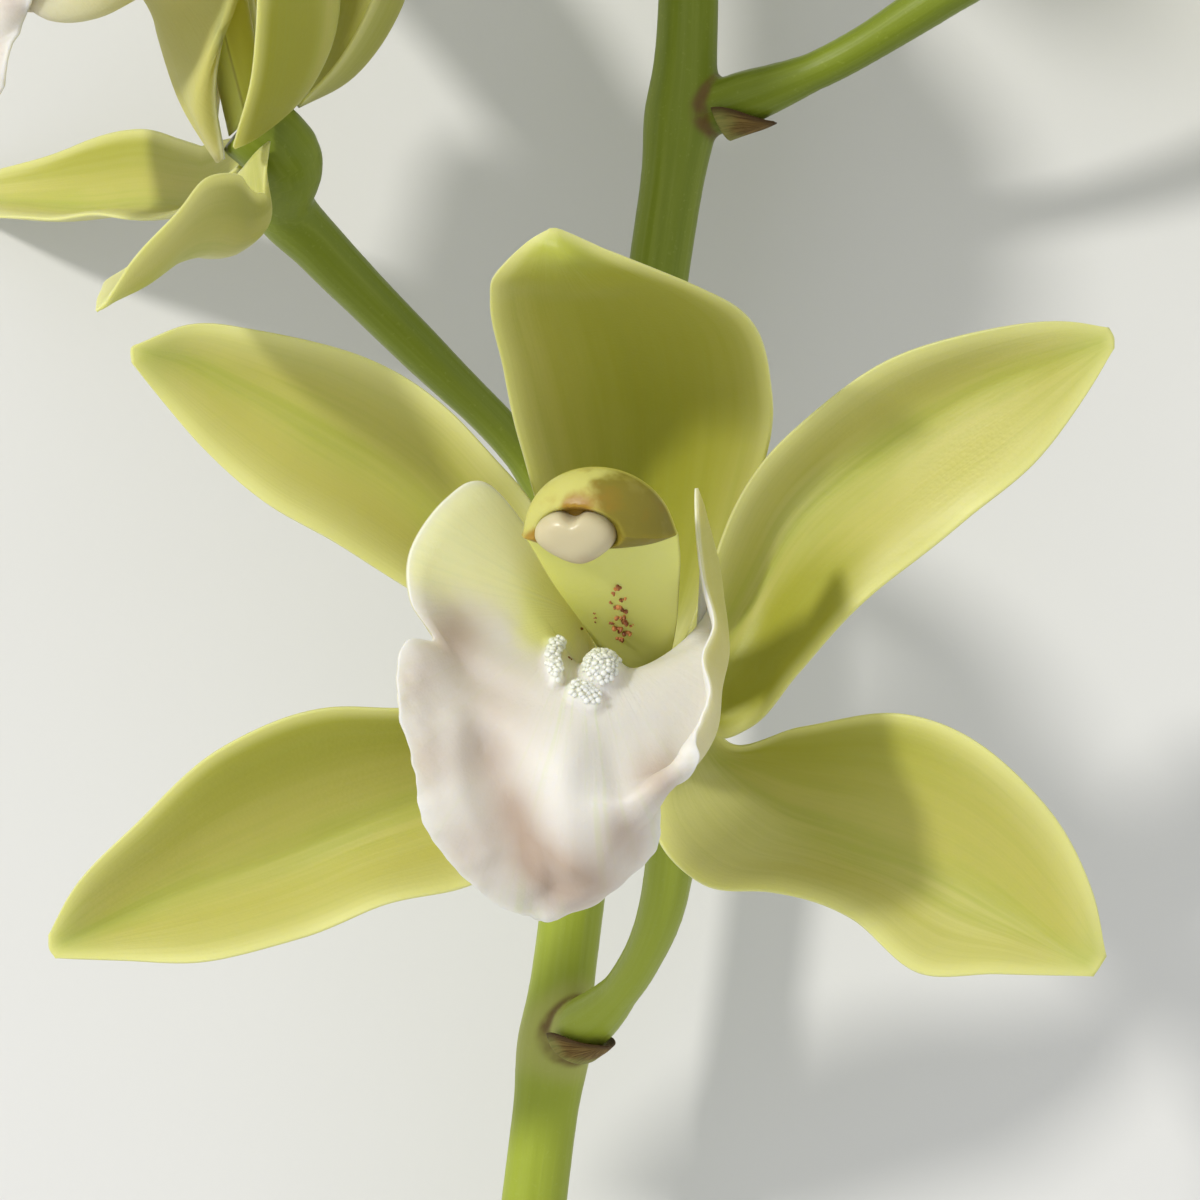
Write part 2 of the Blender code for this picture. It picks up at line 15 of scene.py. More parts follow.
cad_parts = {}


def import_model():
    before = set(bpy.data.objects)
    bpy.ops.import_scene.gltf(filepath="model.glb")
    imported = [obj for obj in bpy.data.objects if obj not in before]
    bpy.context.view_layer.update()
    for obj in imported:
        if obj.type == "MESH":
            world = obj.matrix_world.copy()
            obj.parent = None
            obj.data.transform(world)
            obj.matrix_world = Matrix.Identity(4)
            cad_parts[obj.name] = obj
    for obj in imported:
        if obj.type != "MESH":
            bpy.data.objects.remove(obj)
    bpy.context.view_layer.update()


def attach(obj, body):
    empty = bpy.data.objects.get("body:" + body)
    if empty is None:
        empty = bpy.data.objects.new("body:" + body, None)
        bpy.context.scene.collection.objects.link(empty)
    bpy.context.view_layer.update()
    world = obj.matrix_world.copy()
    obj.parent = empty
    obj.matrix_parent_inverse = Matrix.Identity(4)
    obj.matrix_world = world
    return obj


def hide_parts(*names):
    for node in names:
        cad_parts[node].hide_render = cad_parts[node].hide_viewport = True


MM = 0.001
GAP = 0.3  # clearance between pieces that touch
FLOOR = -60.0  # height of the table under the first bloom
MIDDLE = (12.4, -1.7)  # middle of the whole stem on the table

PETAL_THICKNESS = 0.8
LIP_THICKNESS = 0.9
BRACT_THICKNESS = 0.6

# The disc at the end of each pedicel, where the sheets meet, and its turn to the viewer's left.
DISC_CENTRE = (0.3, -1.0, 0.0)
DISC_TURN = 15.0
REACH = 50.0  # length of sepal that closes by the angle that a bloom states
SLIM_BY = 0.25  # share of its length by which a slim sepal has its own width

# Each piece of the bloom is a sheet between guide lines, which run from its base to its tip.
# They are listed so that the inner face, seen with the tip up, has the first line on its left.
DORSAL_SEPAL = (
    ((-1, 3.3, -2.9), (-5, 8.5, -1.5), (-9.5, 16, 2), (-11.5, 22.5, 6), (-13, 29.5, 13),
     (-14, 35, 22), (-13, 37.5, 29), (-10, 40, 31.5), (-8.5, 40.8, 32)),
    ((0.9, 3.3, -2.4), (0.5, 8.5, -4.5), (-0.5, 17, -4), (-1, 25.5, 1), (-2, 31.5, 10),
     (-4, 35.5, 21), (-6, 37, 30), (-7.2, 38.5, 32.5), (-8.2, 40.8, 32)),
    ((2.9, 3.3, -1.9), (6, 8.5, -1), (9.5, 16.5, 2), (11.5, 23.5, 7), (11.5, 27.5, 12),
     (10, 32.5, 19), (4.5, 36, 27), (-2.5, 38.5, 31.5), (-7.9, 40.8, 32)),
)
PETAL_LEFT = (
    ((-3.9, -0.5, -2.2), (-11.5, 2.5, 1.5), (-21.9, 9.5, 3.4), (-28.3, 13.5, 4),
     (-35.1, 17.4, 3.8), (-41.3, 22.7, 2.7), (-45.5, 27.6, 2.8), (-47.8, 30.6, 4)),
    ((-3, 1.2, -1.9), (-9, 6.5, 0), (-16.4, 13, 0.4), (-22.8, 18.9, 1), (-30.6, 23.8, 1.8),
     (-37.9, 28.1, 1.7), (-43.6, 31, 2.3), (-47.9, 31.9, 4)),
    ((-2.1, 2.8, -1.7), (-6.5, 9.5, 3.8), (-11, 18, 6), (-13.4, 20.9, 7.4), (-17.8, 25.8, 7.9),
     (-25.7, 30.7, 7.5), (-35.9, 33.5, 5.3), (-42.5, 34.1, 4.1), (-47.3, 32.3, 4)),
)
# The right petal's trough is a little flatter than its solid's, so that light reaches its base.
PETAL_RIGHT = (
    ((3.2, 2.8, -0.3), (5.5, 9.5, 3.5), (8, 16.5, 5), (12.5, 23, 8), (21.5, 30, 10.5),
     (32.5, 33.5, 11), (39, 34, 10.5), (42.5, 33.5, 10)),
    ((4.2, 1.2, 0), (7, 4, -0.8), (10, 8.5, -0.6), (14.5, 16, 1.6), (22.1, 22.5, 5.2),
     (30.1, 27.5, 7.3), (37, 30.5, 9.2), (43, 32.6, 10)),
    ((5.1, -0.5, 0.3), (7.2, -4.5, 0.5), (9.8, -3.5, 1.5), (14, 1.5, 4), (21, 9, 7),
     (29, 15.5, 10), (35.5, 21, 11), (40.5, 27.5, 10.5), (43, 31.6, 10)),
)
LATERAL_SEPAL_LEFT = (
    ((-1.7, -4.8, -3.2), (-8, -12.5, -3.1), (-16.5, -18.4, -2), (-24.9, -20.4, -1.3),
     (-32.3, -23.3, -2.1), (-41.2, -25.7, -2.8), (-49.6, -25.7, -4.4), (-56, -25.6, -5)),
    ((-2.6, -3.2, -3.5), (-10, -7.5, -6.6), (-17.6, -9.6, -8.1), (-25, -12, -7.9),
     (-35, -16, -8.2), (-44.4, -19.4, -8), (-52.2, -22.8, -7), (-56.6, -24.7, -5)),
    ((-3.5, -1.5, -3.7), (-11.5, -1.5, -2.1), (-23, -1.6, 0), (-30, -1.8, 0.2),
     (-40, -5.4, -1.6), (-47.6, -12.2, -3.8), (-54.3, -19, -4.9), (-56.7, -23.4, -5)),
)
LATERAL_SEPAL_RIGHT = (
    ((5.5, -1.5, -1.3), (8, -5, -3), (14.5, -3.5, 1), (24, -2.1, 6.5), (31.4, -5.2, 9.5),
     (37, -10.8, 10), (41.2, -18.6, 9), (42.6, -24.4, 7)),
    ((4.5, -3.2, -1.5), (7, -7.5, -5.7), (12, -11.6, -4.2), (19.1, -14.1, -0.2),
     (26.6, -16.6, 2.8), (34.6, -21.1, 5), (39.1, -24, 6.5), (42, -25.5, 7)),
    ((3.6, -4.8, -1.8), (1, -10.5, -2), (1.5, -14.5, 1), (5.5, -18, 3.5), (11.5, -18.5, 5),
     (19, -21, 6), (25.5, -26, 7.5), (32.5, -26, 8), (41.4, -26.3, 7)),
)

# The lip's guide lines keep the same stations, so that each station is one cross-section: the claw,
# the trough with its side lobes, the notches in front of them, and the mid lobe down to its tip.
LIP = (
    ((2.2, -5.4, 0), (4.5, 0, 7), (5, 12, 14), (4.5, 18.5, 18), (4.5, 15, 20.5), (5, 10.5, 22),
     (6, 6.5, 22), (5, 3.5, 22.5), (5.5, 0.5, 23.5), (4.5, -2.5, 24.5), (4, -6, 24.5),
     (1, -9.5, 23), (0.5, -14, 20.5), (-4, -18.5, 18.5), (-8.4, -20, 17.5)),
    ((1.3, -5.6, -0.4), (3, -3, 6), (5.2, 4, 10), (6, 7.5, 12.5), (6.3, 6, 14.5), (6.4, 4.5, 16),
     (6.2, 2.5, 17), (5.7, 0, 18), (4.8, -4, 19.5), (2.6, -7, 22), (-1.5, -9, 26), (-3.5, -14, 24.5),
     (-5, -17.5, 21.5), (-7.2, -19, 19), (-8.7, -20.1, 17.5)),
    ((0.4, -5.7, -0.5), (-0.5, -3.6, 5), (-2, -1, 9.5), (-3, 0.8, 13), (-4, 1.5, 16),
     (-5, 1.2, 18.5), (-5.5, 0, 20.5), (-6, -1.5, 22), (-7, -3.5, 23.5), (-7.5, -6.5, 25),
     (-8, -10, 25.5), (-8.5, -13.5, 24.5), (-9, -16.5, 22), (-9, -18.5, 19.5), (-9, -20.2, 17.5)),
    ((-0.5, -5.6, -0.4), (-3.5, -2.6, 6), (-7, 2.5, 12), (-10, 7, 15), (-13, 7, 17.5),
     (-15, 5.5, 19), (-15.5, 3.5, 20.5), (-15, 1, 21), (-15.5, -1, 22.5), (-14.5, -5, 23),
     (-13.5, -9.5, 23), (-12.5, -14, 22), (-11.5, -17, 20.5), (-10.5, -19, 18.5),
     (-9.4, -20.1, 17.5)),
    ((-1.4, -5.4, 0), (-5.2, 5.2, 6.6), (-9.9, 13.4, 12.6), (-14.5, 19, 18), (-18, 17.5, 21),
     (-21, 13, 23), (-21, 8.5, 24), (-19, 5, 23), (-21.4, 4.8, 25.5), (-22.2, 0.2, 26),
     (-20.5, -6.5, 25.5), (-19.5, -12, 24), (-15.5, -17, 21), (-12, -19.5, 19), (-9.7, -20, 17.5)),
)
KEEL_FROM, KEEL_FADE = 0.20, 0.06  # shares of the lip's length: where its keels begin, and fade in

# Column stations from its foot to its hood: centre, half width, dorsal and ventral height, lean.
COLUMN = (
    ((0.2, -1, 0.35), 2.9, 2.7, 2.4, 0),
    ((-0.6, 2.6, 6), 3.1, 3.2, 1.6, -14),
    ((-1.5, 6.4, 12), 3.9, 3.6, 1.3, -12),
    ((-2.7, 9.9, 18), 5.0, 4.3, 1.2, -4),
    ((-3.6, 12.9, 23), 6.2, 5.3, 1.2, 8),
    ((-4.2, 14.5, 26.3), 6.8, 6.0, 1.3, 18),
)
HOOD_BULGE = 4.2  # how far the hood's end is domed
WING_RISE, WING_AT, WING_WIDTH = 0.05, -0.12, 0.18  # the column's side edges, by the sine of the turn
ANTHER_CENTRE = (-6.3, 14.3, 28.5)
ANTHER_SIZE = (3.7, 2.4, 2.0)
ANTHER_NOTCH = (0.36, 0.26)  # depth as a share of its height, and width as a turn
ANTHER_TAPER, ANTHER_LEAN, ANTHER_DROP = 0.26, 0.08, 0.10  # how its lower half turns into a point
SEAT_SIZE, SEAT_DEPTH, SEAT_SLOPE = (3.4, 2.1), 2.3, 2.0  # the anther cap's seat in the dome

# The rachis from its cut end to its tip, with its radius.
RACHIS = (
    ((-27, -238, -56.5), 3.5), ((-22, -180, -51.5), 3.4), ((-16.5, -110, -45.5), 3.4),
    ((-11, -53.5, -41), 3.4), ((-7.5, -26.5, -40), 3.3), ((-3, 9.5, -40), 3.2),
    ((2, 43.5, -40), 3.2), ((4.3, 60, -40), 3.3), ((5, 85, -39.5), 2.9), ((3.5, 120, -39), 2.7),
    ((1, 155, -38), 2.4), ((-0.5, 180, -37), 1.9), ((-0.5, 200, -36), 1.6),
)

# Blooms: disc, turn about the stem, tilt towards its tip, spin, how far its sepals and its petals
# are still closed, how slim its lateral sepals are against the first bloom's, mirrored or not, its
# pedicel's route and its node's height on the rachis.
BLOOMS = (
    dict(at=(0.3, -1, 0), turn=0, tilt=0, spin=0, closed=(0, 0), slim=1, mirrored=False,
         route=((2.3, -3.6, -8), (2.6, -9, -11.5), (2.7, -16, -15), (1.8, -22, -19), (-0.5, -28, -25),
                (-3.5, -32.5, -31.5)), node=-37.5),
    dict(at=(-38, 54.6, -9.4), turn=-57, tilt=-38, spin=-18, closed=(6, 44), slim=0.56, mirrored=False,
         route=((-35.2, 47, -15.5), (-31.8, 43.2, -19), (-26.5, 37.8, -24), (-20.6, 32, -28.5),
                (-13.5, 25, -34)), node=9.5),
    dict(at=(46, 84, -17.9), turn=62, tilt=-25, spin=0, closed=(24, 16), slim=0.9, mirrored=True,
         route=((40, 76, -28), (29.5, 69, -31), (20, 63.5, -35)), node=58),
    dict(at=(-32, 140, -27.2), turn=-74, tilt=-20, spin=-10, closed=(16, 16), slim=0.9, mirrored=True,
         route=((-26, 130, -26), (-17, 119, -31), (-7, 110, -35)), node=103),
    dict(at=(30, 178, -16), turn=42, tilt=-30, spin=-6, closed=(34, 34), slim=0.9, mirrored=False,
         route=((25, 167, -22), (17, 157, -28), (9, 150, -32)), node=144),
)
BUDS = (
    dict(at=(-20, 199, -24), towards=(-0.62, 0.72, 0.30), length=30, radius=6.2,
         route=((-11, 190, -28.5),), node=178),
    dict(at=(0.5, 208, -28), towards=(0.12, 0.96, 0.25), length=23, radius=4.6, route=(), node=196),
)
KNOB_RADIUS = 2.85  # of the swelling where a pedicel joins the rachis
PEDICEL_RADII = (3.9, 3.4, 2.75, 2.5, 2.35, 2.05, 2, KNOB_RADIUS, 2.5)
BUD_STALK_RADII = (1.6, 1.7, 1.6, 1.5, 1.6)
OVARY_DEPTHS = (0, 2.3, 4.4)  # how far the pedicel runs straight behind its bloom
BUD_SEAM = (0.09, 0.16)  # depth of the seams between a bud's three sepals, and their width
BUD_FROM_RIM = 3.0  # how far from a margin a bud's shader takes its skin to be

# Scale leaves that clasp the stem: place on it, side in degrees, length. The small ones clasp the
# pedicels from below, where they leave the rachis.
SHEATHS = ((-205, 70, 42), (-150, 250, 40), (-92, 95, 36))
SHEATH_SPREAD, SHEATH_LEAN, SHEATH_CLEAR = 105, 1.5, 0.5
BRACT_LENGTH, BRACT_CLEAR = 5.2, 0.6
BRACT_SPREAD, BRACT_LEAN = 80, 0.3
WRAP_TIP = 0.1  # share of its base's spread that a scale leaf keeps at its tip

# How finely each piece is cut: cells along and across, for the first bloom and for the others.
TEPAL_CELLS = ((110, 52), (60, 30))
LIP_CELLS = ((210, 170), (84, 70))
ROUND_CELLS = ((64, 96), (36, 48))
SHEATH_CELLS, BRACT_CELLS, BUD_CELLS = (70, 60), (30, 44), 72
RACHIS_STEPS, PEDICEL_STEPS, TUBE_SIDES = 240, 60, 40
TEPAL_SPREAD, LIP_SPREAD = (0.35, 0.45), 0.3  # how much finer the cells are at a sheet's ends
TEPAL_RIM, LIP_RIM, BRACT_RIM = 0.30, 0.35, 0.25  # share of its thickness that a margin keeps
RIM_REACH = 2.2  # width of the part that thins
MARGIN_WAVE, MARGIN_WAVES = 0.22, 3.5  # how far a margin waves up and down, and how often
GROOVE_DEPTH, GROOVE_WIDTH = 0.10, 0.06  # of the groove along the middle of a sepal or petal

# The callus keels as the camera sees them: the crest of each, its half width and height. The left
# one is a thin edge, the right one a broad mound with a low one below it, and beads cover all three.
KEELS = (
    (((-8.7, 4.3), (-8.9, 2.6), (-8.3, 1.0)), 0.60, 1.3),
    (((-2.8, 4.1), (-3.4, 2.8), (-4.3, 1.6)), 1.75, 2.0),
    (((-6.3, -0.1), (-5.0, -0.8)), 1.0, 0.8),
)

# Beads: width and height, distance apart, and how far up a keel they begin; then how they are cut.
BEAD_SIZE, BEAD_APART, BEAD_FROM = (0.29, 0.26), 0.38, 0.50
BEAD_SIDES, BEAD_LEVELS, BEAD_SEED, BEAD_RANGE = 8, 6, 4, (0.75, 1.15)

# Bristles to a throat mark, and their scatter, width and length as shares of the mark's size.
BRISTLES, BRISTLE_SEED = 5, 6
BRISTLE_SCATTER, BRISTLE_WIDTH, BRISTLE_LENGTH = 0.5, (0.28, 0.55), (0.5, 1.1)

# Marks in the throat, where the camera sees them, and their sizes: a bristly patch and some dots.
THROAT_LEVEL = 16.0
THROAT_MARKS = (
    ((-2.6, 9.7), 0.36), ((-2.9, 9.1), 0.28), ((-2.2, 8.6), 0.36), ((-2.7, 8.0), 0.40),
    ((-2.0, 7.6), 0.36), ((-2.5, 7.0), 0.42), ((-1.9, 6.5), 0.40), ((-2.5, 6.0), 0.48),
    ((-1.8, 5.6), 0.44), ((-2.3, 5.1), 0.40), ((-3.1, 6.5), 0.24), ((-1.3, 6.2), 0.22),
    ((-3.2, 8.3), 0.18), ((-5.9, 5.9), 0.18), ((-6.9, 3.2), 0.18), ((-4.7, 7.3), 0.13),
    ((-4.65, 6.9), 0.13), ((-4.6, 6.5), 0.13),
)

CAMERA_AT = (-4.2, 8.5, 420.0)
CAMERA_LENS, CAMERA_SENSOR = 134.0, 36.0
KEY_FROM = (-0.66, 0.37, 0.65)  # where the key light stands, as a direction
KEY_DISTANCE, KEY_SIZE, KEY_POWER = 2500.0, 240.0, 42.0
KEY_COLOUR = (1.0, 0.975, 0.93)
WORLD_COLOUR, WORLD_STRENGTH = (0.97, 0.98, 1.0), 0.80
FLOOR_COLOUR, FLOOR_SHADE = (0.70, 0.70, 0.68), (0.5, 0.5, 0.48)
FLOOR_SIZE = 30000.0

NODE_SWELL, NODE_REACH = 0.55, 4.0  # how much the rachis thickens where a pedicel leaves it
STEM_VOXEL = 0.48
CREASE_REACH = (0.9, 2.6)  # reach of the brown crease and of the pale swelling, with its painted highlight, at a joint
SKIN_LOTS = 40  # the skin's points are measured in this many lots, to spare memory
CURVE_STEPS, LONG_STEPS = 40, 400  # points on a keel's crest and on the rachis, to measure from
FAR = 1e9
BUD_SALT = 40  # the buds' streaks are drawn from here on, away from those of the sepals
HOOD_LEVELS = np.linspace(0.99, 0.04, 22)  # the hood's fine rings, as shares of its size

# Colours of the hood, as the camera sees it: its orange spots with their radii, and the x and y
# over which its painted shade, olive brown on the side turned from the light, begins and ends.
HOOD_SPOTS = (((-6.0, 16.3), 1.9), ((-10.2, 13.9), 0.9))
SHADE_ACROSS, SHADE_UP = (-7.4, -2.6), (21.5, 18.5)

# Painted shade and painted light on the dorsal sepal, the petals and the lateral sepals, in that
# order: a darker colour where cast shadows and faces turned from the light fall, and, below 0, a
# paler one where light falls; a little of it is the tissue's own darker tone. Each row: place
# along and across the sheet, reach along and across it, strength.
TEPAL_PAINTED_SHADE_AND_LIGHT = (
    ((0.50, 0.45, 0.70, 0.75, 0.75), (0.35, -0.40, 0.60, 0.80, 0.50), (0.92, -0.20, 0.20, 1.20, 0.70)),
    ((0.45, 0.35, 0.40, 0.70, 0.35), (0.10, 0.00, 0.20, 0.80, 0.30)),
    ((0.12, 0.80, 0.22, 0.50, 1.00), (0.30, 0.65, 0.15, 0.40, 0.95), (0.36, -0.10, 0.16, 0.45, -0.45),
     (0.88, 0.20, 0.16, 0.80, 0.40)),
    ((0.50, 0.85, 0.50, 0.45, 0.90), (0.50, -0.40, 0.45, 0.50, -0.25), (0.05, 0.00, 0.20, 0.90, 0.40)),
    ((0.28, -0.80, 0.30, 0.50, 0.95), (0.22, 0.45, 0.20, 0.60, -0.90), (0.75, 0.40, 0.20, 0.50, -0.40)),
)

# Raised and sunk folds of the lip's mid lobe, as the camera sees them: line, half width, rise.
LIP_FOLDS = (
    (((-6.5, -1.5), (-7.3, -7.3), (-6.7, -14.4)), 1.5, 0.60),
    (((-14.3, -4.4), (-11.7, -10.6), (-8.4, -17.2)), 1.7, -0.90),
    (((-3.4, -3.5), (-2.5, -8.7), (-1.7, -13.9)), 1.4, -0.55),
    (((0.7, -2.5), (1.0, -6.7), (0.4, -10.6)), 1.2, 0.45),
    (((-17.2, -2.5), (-17.0, -8.2), (-14.7, -13.4)), 1.4, 0.50),
)
FAN_CENTRE = (-6.0, 7.0)  # where the lip's veins spread from

MID_LOBE, LIP_TIP = (0.5, 0.66), (0.86, 1.0)  # shares of the lip's length over which each begins
OUTSIDE_TINTS = (1, 0, 0.5)  # how much of each of the lip's tints its outer face has

# Soft waves of the lip: how close together they are, how high, and their seed. Each is made of a
# few waves that cross.
CROSSED_WAVES = 7
LIP_RUFFLE, LIP_CRIMP = (0.55, 1.10, 5), (1.6, 0.32, 6)
LIP_NOTCHES, LIP_SWELL = (1.3, 0.40, 9), (0.30, 0.40, 7)

# The yellow-green of the lip, as the camera sees it: the y over which each side lobe takes it on, the
# x that parts the lobes, how the left one's line slants, and the deep throat.
LOBE_LEFT, LOBE_RIGHT, LOBES_PART = (2.0, 12.0), (7.0, 16.0), -4
LOBE_SLANT, LOBE_MIDDLE = 0.25, -12
THROAT_AT, THROAT_REACH = (-8.5, 7.5), (4.5, 5.0)

# Rose stains on the lip, and painted tan shade down the mid lobe's furrow and on the right side of
# its crest, as the camera sees them: place, radius, strength.
LIP_BLUSHES_AND_SHADE = (
    ((-17.6, 5.4), 3.0, 0.75), ((-14.1, -1.0), 4.6, 0.45), ((-14.0, -5.8), 2.6, 0.50),
    ((-11.9, -9.9), 2.4, 0.80), ((-10.3, -13.5), 2.6, 0.95), ((-8.0, -16.2), 2.8, 1.00),
    ((0.7, -7.1), 2.2, 0.80), ((-2.1, -12.4), 2.3, 0.85), ((-15.8, -13.9), 3.2, 0.45),
    ((-20.2, -5.8), 2.8, 0.45), ((-4.6, -16.8), 2.6, 0.70), ((-21.2, 0.9), 2.4, 0.35),
)

NOISE_RANGE = (0.3, 0.7)  # between these lies nearly all that a noise gives

# Colours as the shaders take them.
TEPAL_WARM = (0.45, 0.43, 0.100)
TEPAL_GREEN = (0.35, 0.385, 0.058)
# Painted shade of the sepals and petals.
TEPAL_PAINTED_SHADE = (0.33, 0.33, 0.030)
TEPAL_VEIN = (0.31, 0.36, 0.05)
TEPAL_TIP = (0.42, 0.47, 0.10)
# Pale margins, also the painted light where the tepals' spots are below 0.
TEPAL_PALE = (0.60, 0.59, 0.25)
LIP_WHITE = (0.68, 0.66, 0.62)
LIP_THROAT = (0.74, 0.75, 0.30)
LIP_LOBE = (0.85, 0.83, 0.48)
LIP_OUTSIDE = (0.48, 0.46, 0.14)
LIP_VEIN = (0.62, 0.67, 0.45)
# Rose stains, also the painted tan shade.
LIP_BLUSH_AND_SHADE = (0.45, 0.36, 0.285)
LIP_KEEL = (0.88, 0.88, 0.76)
COLUMN_BACK = (0.54, 0.50, 0.09)
COLUMN_FRONT = (0.70, 0.71, 0.20)
COLUMN_FOOT = (0.58, 0.61, 0.15)
COLUMN_ORANGE = (0.30, 0.15, 0.004)
# Painted shade of the hood's far side and of the column's edges.
COLUMN_OLIVE_SHADE = (0.20, 0.165, 0.014)
HOOD_PALE = (0.50, 0.485, 0.15)
ANTHER_CREAM = (0.53, 0.47, 0.29)
# Rosy edge, also the painted shade on the right.
ANTHER_ROSE_AND_SHADE = (0.45, 0.33, 0.18)
STEM_DEEP = (0.13, 0.175, 0.010)
STEM_FRESH = (0.30, 0.36, 0.035)
STEM_PALE = (0.40, 0.46, 0.11)
# The knob's colour is a painted highlight on its swelling.
KNOB_PALE_HIGHLIGHT, CREASE_BROWN = (0.50, 0.47, 0.18), (0.14, 0.08, 0.02)
CUT_END_AT, CUT_COLOUR = -238.4, (0.45, 0.46, 0.22)
BRACT_TAN = (0.22, 0.14, 0.04)
BRACT_BROWN = (0.09, 0.05, 0.012)
BRACT_DARK = (0.07, 0.04, 0.015)
BRACT_GREEN = (0.30, 0.33, 0.09)
MARK_DARK = (0.20, 0.05, 0.012)
MARK_LIGHT = (0.50, 0.19, 0.05)


def unit(vectors):
    return vectors / np.linalg.norm(vectors, axis=-1, keepdims=True)


def smooth_step(low, high, value):
    share = np.clip((value - low) / (high - low), 0, 1)
    return share * share * (3 - 2 * share)


def lengths_along(path):
    """Distance of each point of a path from its start, along the path."""
    return np.concatenate([[0], np.cumsum(np.linalg.norm(np.diff(path, axis=0), axis=1))])


def ring_turns(sides):
    return np.arange(sides) * 2 * math.pi / sides


def curve_through(points, at, knots=None):
    """Points at the given shares, 0 to 1, of a smooth curve through the listed points."""
    points = np.array(points, float)
    if knots is None:
        knots = lengths_along(points)
        knots /= knots[-1]
    slopes = np.gradient(points, knots, axis=0)
    cell = np.clip(np.searchsorted(knots, at, side="right") - 1, 0, len(knots) - 2)
    width = (knots[cell + 1] - knots[cell])[:, None]
    s = (np.asarray(at) - knots[cell])[:, None] / width
    return (
        (1 + 2 * s) * (1 - s) ** 2 * points[cell]
        + s * (1 - s) ** 2 * width * slopes[cell]
        + s**2 * (3 - 2 * s) * points[cell + 1]
        - s**2 * (1 - s) * width * slopes[cell + 1]
    )


def sheet(guides, along, across, stations=False):
    """A grid of points over the surface that the guide lines span, base to tip and side to side."""
    knots = np.linspace(0, 1, len(guides[0])) if stations else None
    lines = np.array([curve_through(guide, along, knots) for guide in guides])
    side_knots = np.linspace(0, 1, len(guides))
    return np.array([curve_through(lines[:, row], across, side_knots) for row in range(len(along))])


def face_normals(grid):
    return unit(np.cross(np.gradient(grid, axis=1), np.gradient(grid, axis=0)))


def tube_rings(path, radii, sides):
    """Round rings along the path, kept from twisting."""
    path = np.array(path, float)
    tangents = unit(np.gradient(path, axis=0))
    side = np.cross(tangents[0], (0.13, 0.2, 1.0))
    turns = ring_turns(sides)
    rings = []
    for centre, tangent, radius in zip(path, tangents, radii):
        side = unit(side - tangent * np.dot(side, tangent))
        other = np.cross(tangent, side)
        circle = np.outer(np.cos(turns), side) + np.outer(np.sin(turns), other)
        rings.append(centre + radius * circle)
    return rings


def bloom_axis():
    turn = math.radians(DISC_TURN)
    return np.array((-math.sin(turn), 0, math.cos(turn)))


def bloom_matrix(bloom):
    turn = Matrix.Rotation(math.radians(bloom["turn"]), 3, "Y")
    tilt = Matrix.Rotation(math.radians(bloom["tilt"]), 3, "X")
    spin = Matrix.Rotation(math.radians(bloom["spin"]), 3, "Z")
    return np.array(turn @ tilt @ spin)


def place_in_bloom(bloom, points, faces):
    """Moves a solid from the first bloom to another one, mirrored if that bloom is."""
    local = points - np.array(DISC_CENTRE)
    if bloom["mirrored"]:
        local = local * (-1, 1, 1)
        faces = [tuple(face)[::-1] for face in faces]
    return local @ bloom_matrix(bloom).T + bloom["at"], faces


def close_up(grid, degrees):
    """Bends a sepal or petal forward round the disc, as in a bloom that isn't fully open."""
    axis = bloom_axis()
    local = grid - np.array(DISC_CENTRE)
    height = local @ axis
    outward = local - height[..., None] * axis
    reach = np.linalg.norm(outward, axis=-1)
    angle = np.radians(degrees) * reach / REACH
    bent = outward * np.cos(angle)[..., None] + (height + reach * np.sin(angle))[..., None] * axis
    return bent + np.array(DISC_CENTRE)


def slimmed(grid, slim):
    """Draws the sides of a sepal towards its midline, but for its base."""
    middle = grid[:, grid.shape[1] // 2, None]
    share = 1 + (slim - 1) * np.clip(np.linspace(0, 1 / SLIM_BY, len(grid)), 0, 1)
    return middle + (grid - middle) * share[:, None, None]


def spread(count, ends):
    """Shares from 0 to 1, closer together at the ends where a sheet curves most."""
    even = np.linspace(0, 1, count + 1)
    eased = (1 - np.cos(math.pi * even)) / 2
    return even * (1 - ends) + eased * ends


def rim_distance(grid):
    """Rough distance of each point of a grid from the sheet's margin, along the surface."""
    across = np.linalg.norm(np.diff(grid, axis=1), axis=2)
    before = np.concatenate([np.zeros((len(grid), 1)), np.cumsum(across, axis=1)], axis=1)
    after = before[:, -1:] - before
    along = np.linalg.norm(np.diff(grid, axis=0), axis=2)
    left = np.concatenate([np.zeros((1, grid.shape[1])), np.cumsum(along, axis=0)], axis=0)
    return np.minimum(np.minimum(before, after), left[-1:] - left)


def thin_slab(grid, thickness, relief=0, rim=TEPAL_RIM):
    """A closed sheet that thins to a soft margin, with relief raised from its inner face only."""
    normals = face_normals(grid)
    rows, columns = grid.shape[:2]
    count = rows * columns
    edge = rim_distance(grid)[..., None]
    half = thickness / 2 * (rim + (1 - rim) * smooth_step(0, RIM_REACH, edge) ** 0.6)
    front = grid + normals * (half + relief)
    back = grid - normals * half
    points = np.concatenate([front.reshape(-1, 3), back.reshape(-1, 3)])
    i, j = np.meshgrid(np.arange(rows - 1), np.arange(columns - 1), indexing="ij")
    a = (i * columns + j).ravel()
    quads = np.stack([a, a + 1, a + 1 + columns, a + columns], axis=1)
    faces = [*map(tuple, quads.tolist()), *map(tuple, (quads[:, ::-1] + count).tolist())]
    border = list(range(columns))
    border += [i * columns + columns - 1 for i in range(1, rows)]
    border += [(rows - 1) * columns + j for j in range(columns - 2, -1, -1)]
    border += [i * columns for i in range(rows - 2, 0, -1)]
    faces += [(q, p, p + count, q + count) for p, q in zip(border, border[1:] + border[:1])]
    return points, faces


